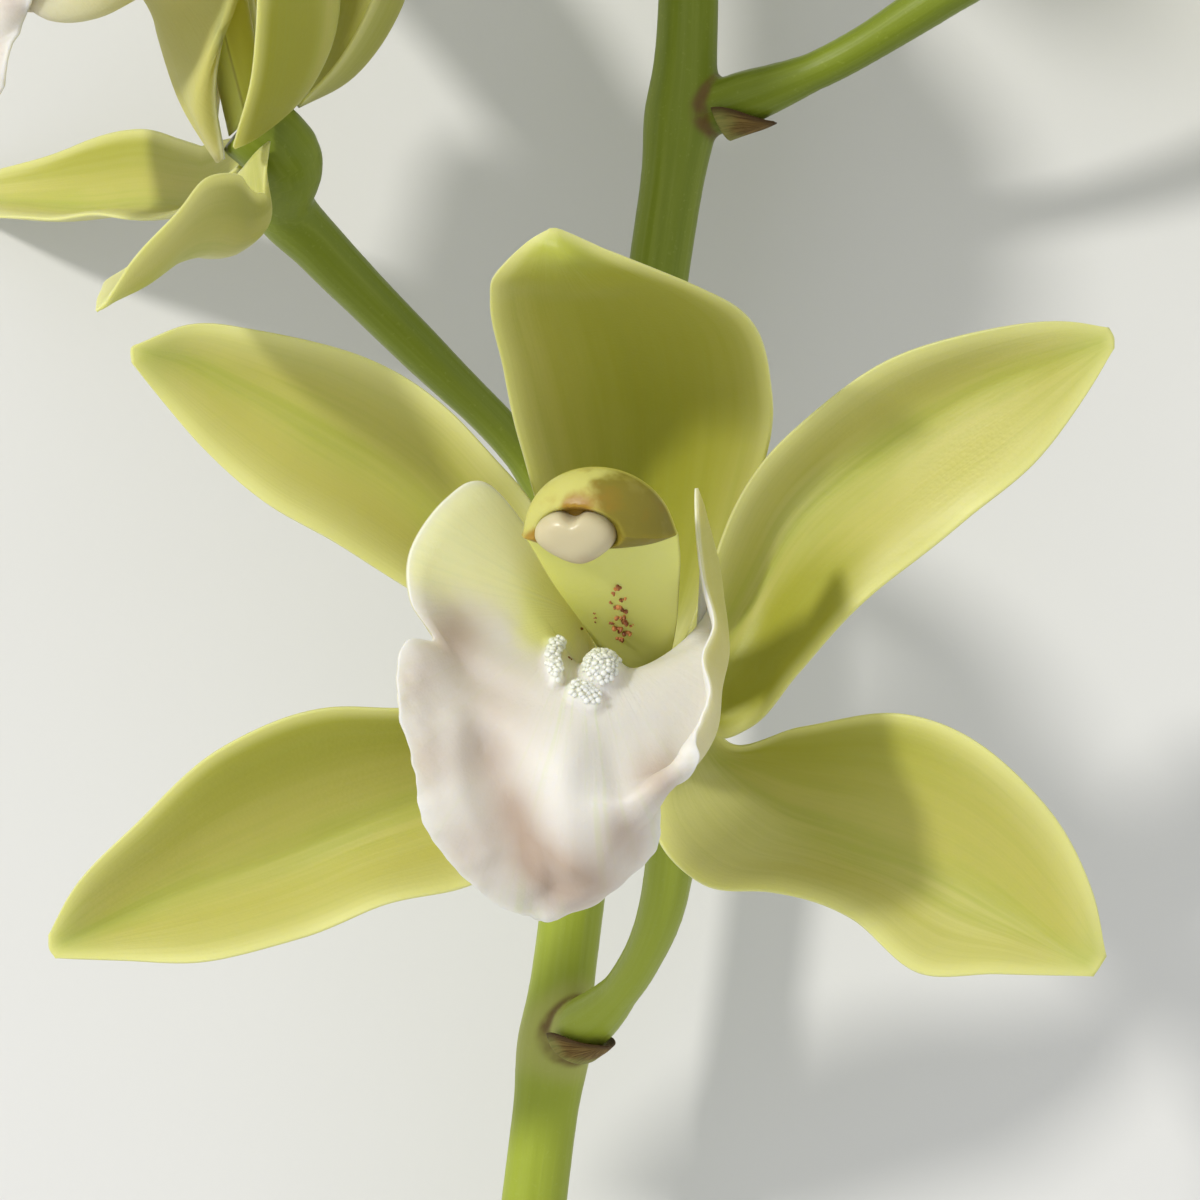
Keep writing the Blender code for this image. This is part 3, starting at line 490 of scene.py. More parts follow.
def loft(rings):
    """A closed solid through the rings, which turn anticlockwise seen from the last one."""
    sides = len(rings[0])
    points = np.concatenate(rings)
    faces = []
    for i in range(len(rings) - 1):
        for j in range(sides):
            a, b = i * sides + j, i * sides + (j + 1) % sides
            faces.append((a, b, b + sides, a + sides))
    faces.append(tuple(range(sides - 1, -1, -1)))
    last = (len(rings) - 1) * sides
    faces.append(tuple(range(last, last + sides)))
    return points, faces


def add_object(name, data):
    made = bpy.data.objects.new(name, data)
    bpy.context.scene.collection.objects.link(made)
    return made


def add_piece(name, points, faces, material, nodes, slot, marks=None):
    """One visible piece: its mesh in metres, its marks for the shader, and the nodes it stands for."""
    placed = (np.array(points, float) - (*MIDDLE, FLOOR)) * MM
    placed[:, 2] = np.maximum(placed[:, 2], 0)
    mesh = bpy.data.meshes.new(name)
    mesh.from_pydata(placed.tolist(), [], faces)
    mesh.shade_smooth()
    for label, values in (marks or {}).items():
        attribute = mesh.attributes.new(label, "FLOAT_VECTOR", "POINT")
        attribute.data.foreach_set("vector", np.ascontiguousarray(values, np.float32).ravel())
    mesh.materials.append(material)
    mesh.update()
    piece = add_object(name, mesh)
    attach(piece, "root")
    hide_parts(*nodes)


def add_to_bloom(number, bloom, name, node, solid, material, slot, marks=None):
    """Moves a solid of the first bloom to a bloom and adds it there, in place of one of its nodes."""
    points, faces = place_in_bloom(bloom, *solid)
    label = f"bloom_{number}_"
    add_piece(label + name, points, faces, material, [label + node], slot, marks)


def sheet_marks(grid, along, across, salt):
    """Marks of a sheet's two faces. The leaf marks are the share of its length, the place across it
    from -1 to 1 and the distance from its margin. The face marks are 1 on the inner face, a number
    that tells pieces apart, and one more that the caller may set."""
    leaf = np.zeros(grid.shape)
    leaf[..., 0] = along[:, None]
    leaf[..., 1] = across[None, :] * 2 - 1
    leaf[..., 2] = rim_distance(grid)
    leaf = np.tile(leaf.reshape(-1, 3), (2, 1))
    face = np.zeros(leaf.shape)
    face[: len(leaf) // 2, 0] = 1
    face[:, 1] = salt
    return {"leaf": leaf, "face": face}


def wavy(grid, along, across, phase):
    """Lets the margins rise and fall a little, and sets a shallow groove along the middle."""
    normals = face_normals(grid)
    side = across[None, :] * 2 - 1
    swing = np.sin(along[:, None] * MARGIN_WAVES * 2 * math.pi + phase + np.sign(side) * 1.3)
    fade = np.sin(math.pi * np.clip(along, 0, 1))[:, None]
    rise = MARGIN_WAVE * swing * fade * np.abs(side) ** 5
    groove = -GROOVE_DEPTH * np.exp(-((side / GROOVE_WIDTH) ** 2)) * fade
    return grid + normals * (rise + groove)[..., None]


def painted_shade_and_light_share(shade_and_light_spots, along, across):
    """Painted shade at each point of a sepal or petal, from cast shadows and faces turned from the
    light, with a little of the tissue's own darker tone; below 0 is painted light.
    """
    side = across[None, :] * 2 - 1
    share = np.zeros((len(along), len(across)))
    for place, beside, reach, wide, strength in shade_and_light_spots:
        away = ((along[:, None] - place) / reach) ** 2 + ((side - beside) / wide) ** 2
        share += strength * np.exp(-away)
    return share


def make_tepals(number, bloom, materials):
    left, right = ("right", "left") if bloom["mirrored"] else ("left", "right")
    sepals_closed, petals_closed = bloom["closed"]
    tepals = (
        ("dorsal_sepal", DORSAL_SEPAL, sepals_closed / 2, 1),
        (f"petal_{left}", PETAL_LEFT, petals_closed, 1),
        (f"petal_{right}", PETAL_RIGHT, petals_closed, 1),
        (f"lateral_sepal_{left}", LATERAL_SEPAL_LEFT, sepals_closed, bloom["slim"]),
        (f"lateral_sepal_{right}", LATERAL_SEPAL_RIGHT, sepals_closed, bloom["slim"]),
    )
    rows, columns = TEPAL_CELLS[0 if number == 1 else 1]
    along, across = spread(rows, TEPAL_SPREAD[0]), spread(columns, TEPAL_SPREAD[1])
    for order, ((name, guides, closed, slim), shade_and_light_spots) in enumerate(zip(tepals, TEPAL_PAINTED_SHADE_AND_LIGHT)):
        grid = close_up(slimmed(sheet(guides, along, across), slim), closed)
        grid = wavy(grid, along, across, order * 1.7 + number)
        marks = sheet_marks(grid, along, across, number * 3.1 + order * 1.3)
        # The face mark's third number carries each sheet's painted shade and painted light.
        marks["face"][:, 2] = np.tile(painted_shade_and_light_share(shade_and_light_spots, along, across).ravel(), 2)
        solid = thin_slab(grid, PETAL_THICKNESS)
        add_to_bloom(number, bloom, name + "_look", name, solid, materials["tepal"], "tepal", marks)


def distance_to(line, flat):
    """Distance of each point from a curve, as the camera sees both."""
    curve = curve_through(line, np.linspace(0, 1, CURVE_STEPS))
    return np.linalg.norm(flat[:, None, :2] - curve[None], axis=2).min(axis=1)


def keel_relief(flat, along):
    """Height of the keels at points of the lip, and how far each point is on a keel, 0 to 1."""
    height = np.zeros(len(flat))
    share = np.zeros(len(flat))
    inside = smooth_step(KEEL_FROM, KEEL_FROM + KEEL_FADE, along)
    for crest, half, rise in KEELS:
        on = np.exp(-((distance_to(crest, flat) / half) ** 4)) * inside
        height = np.maximum(height, rise * on)
        share = np.maximum(share, on * min(1, rise / KEELS[0][2]))
    return height, share


def soft_noise(points, scale, height, seed):
    """Smooth noise from a few crossed waves, the same on every run."""
    total = np.zeros(len(points))
    draw = np.random.default_rng(seed)
    for _ in range(CROSSED_WAVES):
        way = draw.normal(size=3)
        total += np.sin(points @ (way * scale) + draw.uniform(0, 2 * math.pi))
    return total / CROSSED_WAVES * height


def lip_grid(rows, columns):
    """The lip's sheet with soft folds down its mid lobe and a ruffled, crimped margin."""
    along, across = np.linspace(0, 1, rows + 1), spread(columns, LIP_SPREAD)
    grid = sheet(LIP, along, across, stations=True)
    side = across[None, :] * 2 - 1
    edge = np.maximum(np.abs(side) ** 6, smooth_step(*LIP_TIP, along)[:, None] ** 2)
    normals = face_normals(grid)
    sideways = unit(np.gradient(grid, axis=1)) * np.sign(side)[..., None]
    flat = grid.reshape(-1, 3)
    front = smooth_step(*MID_LOBE, along)[:, None]
    ruffle, crimp, notch, swell = (
        soft_noise(flat, *waves).reshape(edge.shape)
        for waves in (LIP_RUFFLE, LIP_CRIMP, LIP_NOTCHES, LIP_SWELL)
    )
    swell = swell * (1 - side**4)
    for line, half, rise in LIP_FOLDS:
        swell += np.exp(-((distance_to(line, flat) / half) ** 2)).reshape(edge.shape) * rise
    lift = (ruffle * edge + crimp * edge + swell) * front
    notch = notch * np.abs(side) ** 10 * front
    return grid + normals * lift[..., None] + sideways * notch[..., None], along, across


def lip_tints(flat):
    """Shares of yellow-green, of the deep throat, and of rose stains with painted tan shade, at points
    of the lip.
    """
    x, y = flat[:, 0], flat[:, 1]
    left = smooth_step(*LOBE_LEFT, y + LOBE_SLANT * (x - LOBE_MIDDLE))
    yellow = np.where(x < LOBES_PART, left, smooth_step(*LOBE_RIGHT, y))
    deep = np.exp(-(((flat[:, :2] - THROAT_AT) / THROAT_REACH) ** 2).sum(axis=1))
    blush_and_shade = np.zeros(len(flat))
    for place, radius, strength in LIP_BLUSHES_AND_SHADE:
        away = np.linalg.norm(flat[:, :2] - place, axis=1)
        blush_and_shade += strength * np.exp(-((away / radius) ** 2))
    return yellow, deep, blush_and_shade


def make_lip(number, bloom, materials):
    rows, columns = LIP_CELLS[0 if number == 1 else 1]
    grid, along, across = lip_grid(rows, columns)
    flat = grid.reshape(-1, 3)
    height, keel = keel_relief(flat, np.repeat(along, columns + 1))
    relief = height.reshape(rows + 1, columns + 1, 1)
    slab = thin_slab(grid, LIP_THICKNESS, relief, rim=LIP_RIM)
    fan = np.arctan2(flat[:, 0] - FAN_CENTRE[0], FAN_CENTRE[1] - flat[:, 1])
    tints = np.stack(lip_tints(flat), axis=1)
    marks = sheet_marks(grid, along, across, number * 2.3)
    marks["leaf"][:, 1] = np.tile(fan, 2)
    marks["face"][: len(flat), 2] = keel
    marks["tint"] = np.concatenate([tints, tints * OUTSIDE_TINTS])
    add_to_bloom(number, bloom, "lip_look", "lip", slab, materials["lip"], "lip", marks)
    make_beads(number, bloom, slab[0][: len(flat)].reshape(grid.shape), keel, materials)


def rounded_bead(place, normal, reach, tall):
    """A small rounded solid on a surface, with its foot sunk into it."""
    side = unit(np.cross(normal, (0.1, 0.3, 1.0)))
    up = np.cross(normal, side)
    turns = ring_turns(BEAD_SIDES)
    circle = np.outer(np.cos(turns), side) + np.outer(np.sin(turns), up)
    rings = []
    for level in np.linspace(0.05, 0.95, BEAD_LEVELS):
        height = tall * (0.25 - 0.75 * math.cos(math.pi * level))
        rings.append(place + normal * height + circle * reach * math.sin(math.pi * level) ** 0.8)
    return loft(rings)


def join_solids(solids):
    points, faces, count = [], [], 0
    for more, cells in solids:
        points.append(more)
        faces += [tuple(index + count for index in cell) for cell in cells]
        count += len(more)
    return np.concatenate(points), faces


def make_beads(number, bloom, front, keel, materials):
    """The small beads that cover the keels, set apart from each other at random."""
    draw = np.random.default_rng(BEAD_SEED)
    places, normals = front.reshape(-1, 3), face_normals(front).reshape(-1, 3)
    chosen = []
    for index in draw.permutation(np.flatnonzero(keel > BEAD_FROM)):
        apart = np.linalg.norm(places[chosen] - places[index], axis=1)
        if (apart > BEAD_APART).all():
            chosen.append(index)
    sizes = draw.uniform(*BEAD_RANGE, len(chosen))
    solids = [
        rounded_bead(places[index], normals[index], BEAD_SIZE[0] * size, BEAD_SIZE[1] * size)
        for index, size in zip(chosen, sizes)
    ]
    add_to_bloom(number, bloom, "keel_beads", "lip", join_solids(solids), materials["bead"], "lip")


def hood_height(share, level, sideways):
    """How far the hood's end is domed at a share of its size, less the seat of the anther cap."""
    dome = HOOD_BULGE * np.sqrt(np.maximum(1 - share**2, 0))
    away = np.hypot(sideways / SEAT_SIZE[0], level / SEAT_SIZE[1]) - 1
    seat = SEAT_DEPTH + SEAT_SLOPE * SEAT_SIZE[1] * np.maximum(away, 0)
    return np.minimum(dome, seat)


def upward(degrees):
    """The upward direction of a cross-section of the column that leans by an angle."""
    lean = math.radians(degrees)
    return np.array((0, math.cos(lean), 0)) + math.sin(lean) * bloom_axis()


def column_frame():
    """Sideways, upward and outward directions of the hood's end."""
    turn = math.radians(DISC_TURN)
    side = np.array((math.cos(turn), 0, math.sin(turn)))
    up = upward(COLUMN[-1][4])
    return side, up, np.cross(side, up)


def column_rings(count, sides):
    """The column's cross-sections, then the domed end of its hood, all finely cut."""
    side, hood_up, outward = column_frame()
    sine, cosine = np.sin(ring_turns(sides)), np.cos(ring_turns(sides))
    shares = np.linspace(0, 1, count)
    centres = curve_through([station[0] for station in COLUMN], shares)
    sizes = curve_through([(*station[0], *station[1:]) for station in COLUMN], shares)[:, 3:]
    rings = []
    for centre, (half_width, dorsal, ventral, lean) in zip(centres, sizes):
        height = np.where(sine > 0, dorsal, ventral) * sine
        wing = 1 + WING_RISE * np.exp(-(((sine - WING_AT) / WING_WIDTH) ** 2))
        beside = np.outer(half_width * cosine * wing, side)
        rings.append(centre + beside + np.outer(height, upward(lean)))
    rim = rings[-1]
    middle = rim.mean(axis=0)
    for share in HOOD_LEVELS:
        ring = middle + (rim - middle) * share
        local = ring - ANTHER_CENTRE
        height = hood_height(share, local @ hood_up, local @ side)
        rings.append(ring + np.outer(height, outward))
    return rings


def anther_rings(count, sides):
    """A heart-shaped cushion: two round lobes above, one blunt point below."""
    side, up, out = column_frame()
    turns = ring_turns(sides)
    sine, cosine = np.sin(turns), np.cos(turns)
    below = np.maximum(-sine, 0)
    wide, tall, deep = ANTHER_SIZE
    notch = ANTHER_NOTCH[0] * np.exp(-(((turns - math.pi / 2) / ANTHER_NOTCH[1]) ** 2))
    rings = []
    for level in np.linspace(0.02, 0.98, count):
        swell = math.sin(math.pi * level) ** 0.6
        x = wide * swell * (cosine * (1 - ANTHER_TAPER * below**2) + ANTHER_LEAN * below**2)
        y = tall * swell * (sine * (1 + ANTHER_DROP * below**3) - notch * swell)
        z = -deep * math.cos(math.pi * level)
        rings.append(ANTHER_CENTRE + np.outer(x, side) + np.outer(y, up) + z * out)
    return rings


def ring_marks(rings):
    """Marks of a lofted solid: share of its length, sine and cosine of the turn round it."""
    turns = ring_turns(len(rings[0]))
    along = lengths_along([ring.mean(axis=0) for ring in rings])
    values = np.zeros((len(rings), len(turns), 3))
    values[..., 0] = (along / along[-1])[:, None]
    values[..., 1] = np.sin(turns)[None, :]
    values[..., 2] = np.cos(turns)[None, :]
    return values.reshape(-1, 3)


def hood_tints(rings, count):
    """Shares of orange, of painted olive-brown shade, and of hood end rather than column, at points of
    the rings.
    """
    place = np.concatenate(rings)
    on_end = np.repeat(np.arange(len(rings)) >= count, len(rings[0])).astype(float)
    orange = np.zeros(len(place))
    for spot, radius in HOOD_SPOTS:
        orange += np.exp(-((np.linalg.norm(place[:, :2] - spot, axis=1) / radius) ** 2))
    # Painted shade on the side of the hood's end turned from the light.
    olive = smooth_step(*SHADE_ACROSS, place[:, 0]) * smooth_step(*SHADE_UP, place[:, 1])
    return np.stack([orange, olive, on_end], axis=1)


def make_column(number, bloom, materials):
    count, sides = ROUND_CELLS[0 if number == 1 else 1]
    rings = column_rings(count, sides)
    marks = {"round": ring_marks(rings), "hood": hood_tints(rings, count)}
    solid, material = loft(rings), materials["column"]
    add_to_bloom(number, bloom, "column_look", "column", solid, material, "column", marks)
    rings = anther_rings(count // 2, sides)
    marks = {"place": np.concatenate(rings) - ANTHER_CENTRE}
    solid, material = loft(rings), materials["anther"]
    add_to_bloom(number, bloom, "anther_cap_look", "anther_cap", solid, material, "anther", marks)


def rachis_path(count):
    """Points along the middle of the rachis, and its radius at each."""
    path = curve_through([centre for centre, _ in RACHIS], np.linspace(0, 1, count))
    heights = [centre[1] for centre, _ in RACHIS]
    return path, np.interp(path[:, 1], heights, [radius for _, radius in RACHIS])


def rachis_at(y):
    """Centre and radius of the rachis at a height along the stem."""
    path, radii = rachis_path(LONG_STEPS)
    nearest = np.argmin(abs(path[:, 1] - y))
    return path[nearest], radii[nearest]


def stem_branches():
    """Every tube of the stem as its path and radii: the rachis, then each pedicel and bud stalk."""
    path, radii = rachis_path(RACHIS_STEPS)
    for bloom in BLOOMS:
        radii = radii + NODE_SWELL * np.exp(-(((path[:, 1] - bloom["node"]) / NODE_REACH) ** 2))
    branches = [(path, radii)]
    starts = []
    for bloom in BLOOMS:
        axis = bloom_axis() * ((-1, 1, 1) if bloom["mirrored"] else (1, 1, 1))
        axis = bloom_matrix(bloom) @ axis
        starts.append((bloom["at"], axis, bloom["route"], bloom["node"], PEDICEL_RADII))
    for bud in BUDS:
        axis = unit(np.array(bud["towards"]))
        starts.append((bud["at"], axis, bud["route"], bud["node"], BUD_STALK_RADII))
    for start, axis, route, node, radii in starts:
        behind = [np.array(start, float) - axis * depth for depth in OVARY_DEPTHS]
        along = np.linspace(0, 1, PEDICEL_STEPS)
        path = curve_through([*behind, *route, rachis_at(node)[0]], along)
        branches.append((path, np.interp(along, np.linspace(0, 1, len(radii)), radii)))
    return branches


def melt(branches):
    """The tubes' points and faces after they are fused into one even skin."""
    points, faces = join_solids(loft(tube_rings(path, radii, TUBE_SIDES)) for path, radii in branches)
    mesh = bpy.data.meshes.new("stem_skin")
    mesh.from_pydata(points.tolist(), [], faces)
    skin = add_object("stem_skin", mesh)
    fuse = skin.modifiers.new("fuse", "REMESH")
    fuse.mode = "VOXEL"
    fuse.voxel_size = STEM_VOXEL
    even = skin.modifiers.new("even", "SMOOTH")
    even.factor = 0.5
    even.iterations = 6
    made = skin.evaluated_get(bpy.context.evaluated_depsgraph_get()).to_mesh()
    places = np.zeros(len(made.vertices) * 3)
    made.vertices.foreach_get("co", places)
    faces = [tuple(face.vertices) for face in made.polygons]
    bpy.data.objects.remove(skin, do_unlink=True)
    bpy.data.meshes.remove(mesh)
    return places.reshape(-1, 3), faces


def stem_marks(places, branches):
    """For each point: distance along its branch and the turn round it, and how near a joint it is."""
    nearest = np.full(len(places), FAR)
    second = np.full(len(places), FAR)
    marks = np.zeros((len(places), 3))
    for path, radii in branches:
        lengths = lengths_along(path)
        tangents = unit(np.gradient(path, axis=0))
        for lot in np.array_split(np.arange(len(places)), SKIN_LOTS):
            away = np.linalg.norm(places[lot][:, None] - path[None], axis=2) - radii[None]
            best = away.argmin(axis=1)
            gap = away[np.arange(len(lot)), best]
            second[lot] = np.minimum(second[lot], np.maximum(gap, nearest[lot]))
            closer = gap < nearest[lot]
            chosen, best = lot[closer], best[closer]
            nearest[chosen] = gap[closer]
            outward = places[chosen] - path[best]
            level = unit(np.cross(tangents[best], (0.0, 0.0, 1.0)))
            over = np.cross(level, tangents[best])
            angle = np.arctan2((outward * over).sum(1), (outward * level).sum(1))
            marks[chosen] = np.stack([lengths[best], np.cos(angle), np.sin(angle)], axis=1)
    return marks, second


def make_stem(materials):
    """The rachis and its pedicels, fused into one skin, with marks for ribs and colour."""
    branches = stem_branches()
    places, faces = melt(branches)
    tube, joint = stem_marks(places, branches)
    crease, swelling = (np.exp(-((joint / reach) ** 2)) for reach in CREASE_REACH)
    marks = {"tube": tube, "near": np.stack([crease, swelling, places[:, 1]], axis=1)}
    add_piece("stem_look", places, faces, materials["stem"], ["stem"], "stem", marks)


def make_buds(materials):
    """Closed buds: three outer sepals that meet at shallow seams."""
    for number, bud in enumerate(BUDS, 1):
        axis = unit(np.array(bud["towards"]))
        start = np.array(bud["at"]) + axis * GAP
        levels = np.linspace(0, 1, BUD_CELLS)
        path = start + np.outer(levels * bud["length"], axis)
        swell = np.sin(math.pi * (0.08 + 0.88 * levels)) ** 0.75 * (1.12 - 0.35 * levels)
        rings = tube_rings(path, bud["radius"] * swell, BUD_CELLS)
        off_seam = np.abs(np.cos(1.5 * ring_turns(BUD_CELLS)))
        seam = (1 - BUD_SEAM[0] * np.exp(-((off_seam / BUD_SEAM[1]) ** 2)))[:, None]
        rings = [ring.mean(axis=0) + (ring - ring.mean(axis=0)) * seam for ring in rings]
        leaf = ring_marks(rings)
        leaf[:, 1] = np.tile(off_seam * 2 - 1, len(rings))
        leaf[:, 2] = BUD_FROM_RIM
        face = np.zeros_like(leaf)
        face[:, 1] = BUD_SALT + number
        label = f"bud_{number}"
        marks = {"leaf": leaf, "face": face}
        add_piece(label + "_look", *loft(rings), materials["tepal"], [label], "tepal", marks)


def wrap(centre, axis, side, radius, length, wide, cells, lean):
    """A grid hugging a stem: it spreads round it at its base and narrows to its tip."""
    across = np.cross(axis, side)
    rows, columns = cells
    grid = np.zeros((rows + 1, columns + 1, 3))
    for i, share in enumerate(np.linspace(0, 1, rows + 1)):
        half = math.radians(wide) * (1 - (1 - WRAP_TIP) * share**1.6)
        away = radius + lean * share**2
        for j, angle in enumerate(np.linspace(half, -half, columns + 1)):
            outward = side * math.cos(angle) + across * math.sin(angle)
            grid[i, j] = centre + axis * length * share + outward * away
    return grid


def rachis_frame(y, degrees):
    """Centre, direction, sideways direction and radius on the rachis, turned by an angle round it."""
    before, _ = rachis_at(y - 3)
    after, _ = rachis_at(y + 3)
    centre, radius = rachis_at(y)
    axis = unit(after - before)
    level = unit(np.cross(axis, (0, 0, 1)))
    up = np.cross(level, axis)
    angle = math.radians(degrees)
    return centre, axis, level * math.cos(angle) + up * math.sin(angle), radius


def add_bract(label, grid, number, materials):
    along, across = (np.linspace(0, 1, count) for count in grid.shape[:2])
    marks = sheet_marks(grid, along, across, number * 1.9)
    solid = thin_slab(grid, BRACT_THICKNESS, rim=BRACT_RIM)
    add_piece(label + "_look", *solid, materials["bract"], [label], "bract", marks)


def make_bracts(materials):
    for number, (y, degrees, length) in enumerate(SHEATHS, 1):
        centre, axis, side, radius = rachis_frame(y, degrees)
        away = radius + GAP + SHEATH_CLEAR
        grid = wrap(centre, axis, side, away, length, SHEATH_SPREAD, SHEATH_CELLS, SHEATH_LEAN)
        add_bract(f"sheath_{number}", grid, number, materials)
    for number, bloom in enumerate(BLOOMS, 1):
        centre, rachis_axis, _, radius = rachis_frame(bloom["node"], 0)
        axis = unit(np.array(bloom["route"][-1]) - centre)
        uphill = np.dot(axis, rachis_axis)
        below = unit(axis * uphill - rachis_axis)
        start = centre + axis * (radius + BRACT_CLEAR) / math.sqrt(1 - uphill**2)
        away = KNOB_RADIUS + GAP + BRACT_THICKNESS / 2
        grid = wrap(start, axis, below, away, BRACT_LENGTH, BRACT_SPREAD, BRACT_CELLS, BRACT_LEAN)
        add_bract(f"bract_{number}", grid, 10 + number, materials)


class Shader:
    """A material's node tree, with short ways to add and join nodes."""

    def __init__(self, name):
        self.material = bpy.data.materials.new(name)
        self.material.use_nodes = True
        self.tree = self.material.node_tree
        self.main = self.tree.nodes["Principled BSDF"]

    def add(self, kind, **settings):
        node = self.tree.nodes.new(kind)
        for key, value in settings.items():
            setattr(node, key, value)
        return node

    def join(self, source, target):
        if isinstance(source, (int, float)):
            target.default_value = source
        elif isinstance(source, tuple):
            target.default_value = (*source, 1) if len(target.default_value) == 4 else source
        else:
            self.tree.links.new(source, target)

    def mark(self, name):
        """The three numbers of a stored mark."""
        node = self.add("ShaderNodeAttribute", attribute_name=name)
        parts = self.add("ShaderNodeSeparateXYZ")
        self.join(node.outputs["Vector"], parts.inputs[0])
        return tuple(parts.outputs)

    def math(self, operation, *values):
        node = self.add("ShaderNodeMath", operation=operation)
        for value, socket in zip(values, node.inputs):
            self.join(value, socket)
        return node.outputs[0]

    def plus(self, a, b):
        return self.math("ADD", a, b)

    def times(self, a, b):
        return self.math("MULTIPLY", a, b)

    def step(self, value, low, high, start=0.0, end=1.0):
        """A smooth change from start to end while value goes from low to high."""
        node = self.add("ShaderNodeMapRange", interpolation_type="SMOOTHSTEP")
        for item, socket in zip((value, low, high, start, end), node.inputs):
            self.join(item, socket)
        return node.outputs[0]

    def sway(self, noise, start, end):
        """A value that drifts between start and end with a noise."""
        return self.step(noise, *NOISE_RANGE, start, end)

    def noise(self, vector, scale, detail):
        node = self.add("ShaderNodeTexNoise")
        self.join(vector, node.inputs["Vector"])
        node.inputs["Scale"].default_value = scale
        node.inputs["Detail"].default_value = detail
        return node.outputs["Fac"]

    def streaks(self, marks, stretch, scale, detail):
        """Noise over three marks, each of them stretched by its own factor."""
        way = self.add("ShaderNodeCombineXYZ")
        for mark, factor, socket in zip(marks, stretch, way.inputs):
            self.join(self.times(mark, factor), socket)
        return self.noise(way.outputs[0], scale, detail)

    def places(self):
        return self.add("ShaderNodeTexCoord").outputs["Object"]

    def clouds(self, per_metre, detail):
        """Noise through the piece itself, with so many clouds to a metre."""
        return self.noise(self.places(), per_metre, detail)

    def grain(self, per_metre):
        """Distance to the nearest of the small cells, of which there are so many to a metre."""
        node = self.add("ShaderNodeTexVoronoi", feature="F1")
        self.join(self.places(), node.inputs["Vector"])
        node.inputs["Scale"].default_value = per_metre
        return node.outputs["Distance"]

    def mix(self, factor, first, second):
        node = self.add("ShaderNodeMix", data_type="RGBA")
        self.join(factor, node.inputs[0])
        self.join(first, node.inputs[6])
        self.join(second, node.inputs[7])
        return node.outputs[2]

    def bump(self, height, distance, strength, below=None):
        """Relief of a height in metres, laid over another relief if one is given."""
        node = self.add("ShaderNodeBump")
        node.inputs["Strength"].default_value = strength
        node.inputs["Distance"].default_value = distance
        self.join(height, node.inputs["Height"])
        if below is not None:
            self.join(below, node.inputs["Normal"])
        return node.outputs["Normal"]

    def finish(self, colour, roughness, normal, scatter=(), **fixed):
        """Joins the last nodes; scatter is the share of light that enters, its depth and colours."""
        self.join(colour, self.main.inputs["Base Color"])
        self.join(roughness, self.main.inputs["Roughness"])
        self.join(normal, self.main.inputs["Normal"])
        for name, value in zip(("Weight", "Scale", "Radius"), scatter):
            self.main.inputs["Subsurface " + name].default_value = value
        for name, value in fixed.items():
            self.main.inputs[name.replace("_", " ")].default_value = value
        return self.material


def tepal_material():
    """Waxy yellow-green tissue: greener along its middle, with painted shade and painted light in
    places, paler at its margins.
    """
    s = Shader("sepal and petal tissue")
    along, across, rim = s.mark("leaf")
    _, salt, deep = s.mark("face")
    side = s.math("ABSOLUTE", across)
    streaks = s.streaks((across, along, salt), (6.0, 1.2, 1.0), 1.6, 3.0)
    fine = s.streaks((across, along, salt), (22.0, 1.8, 1.0), 1.5, 2.0)
    clouds = s.clouds(75.0, 2.0)
    middle = s.step(side, 0.0, 0.55, 0.5, 0.0)
    base = s.step(along, 0.0, 0.42, 0.6, 0.0)
    green = s.plus(s.math("MAXIMUM", middle, base), s.step(streaks, 0.3, 0.75, -0.12, 0.18))
    green = s.plus(green, s.sway(clouds, -0.12, 0.12))
    body = s.mix(s.step(green, 0.0, 1.0), TEPAL_WARM, TEPAL_GREEN)
    body = s.mix(s.step(rim, 0.0, 5.0, 0.55, 0.0), body, TEPAL_PALE)
    # Painted shade above 0 and painted light below 0, with a little streaky tone.
    shade_and_light = s.plus(deep, s.step(streaks, 0.3, 0.75, -0.08, 0.08))
    body = s.mix(s.step(shade_and_light, 0.05, 1.0), body, TEPAL_PAINTED_SHADE)
    body = s.mix(s.step(shade_and_light, -0.8, -0.05, 0.8, 0.0), body, TEPAL_PALE)
    body = s.mix(s.step(fine, 0.42, 0.72, 0.0, 0.12), body, TEPAL_VEIN)
    body = s.mix(s.step(along, 0.88, 1.0, 0.0, 0.5), body, TEPAL_TIP)
    colour = s.mix(s.step(rim, 0.0, 1.6, 0.75, 0.0), body, TEPAL_PALE)
    grain = s.grain(2600.0)
    normal = s.bump(fine, 0.00006, 0.35)
    normal = s.bump(grain, 0.000025, 0.4, normal)
    roughness = s.sway(clouds, 0.42, 0.52)
    return s.finish(
        colour, roughness, normal, (0.55, 0.0022, (1.0, 0.95, 0.22)),
        Specular_IOR_Level=0.3, Sheen_Weight=0.05,
    )


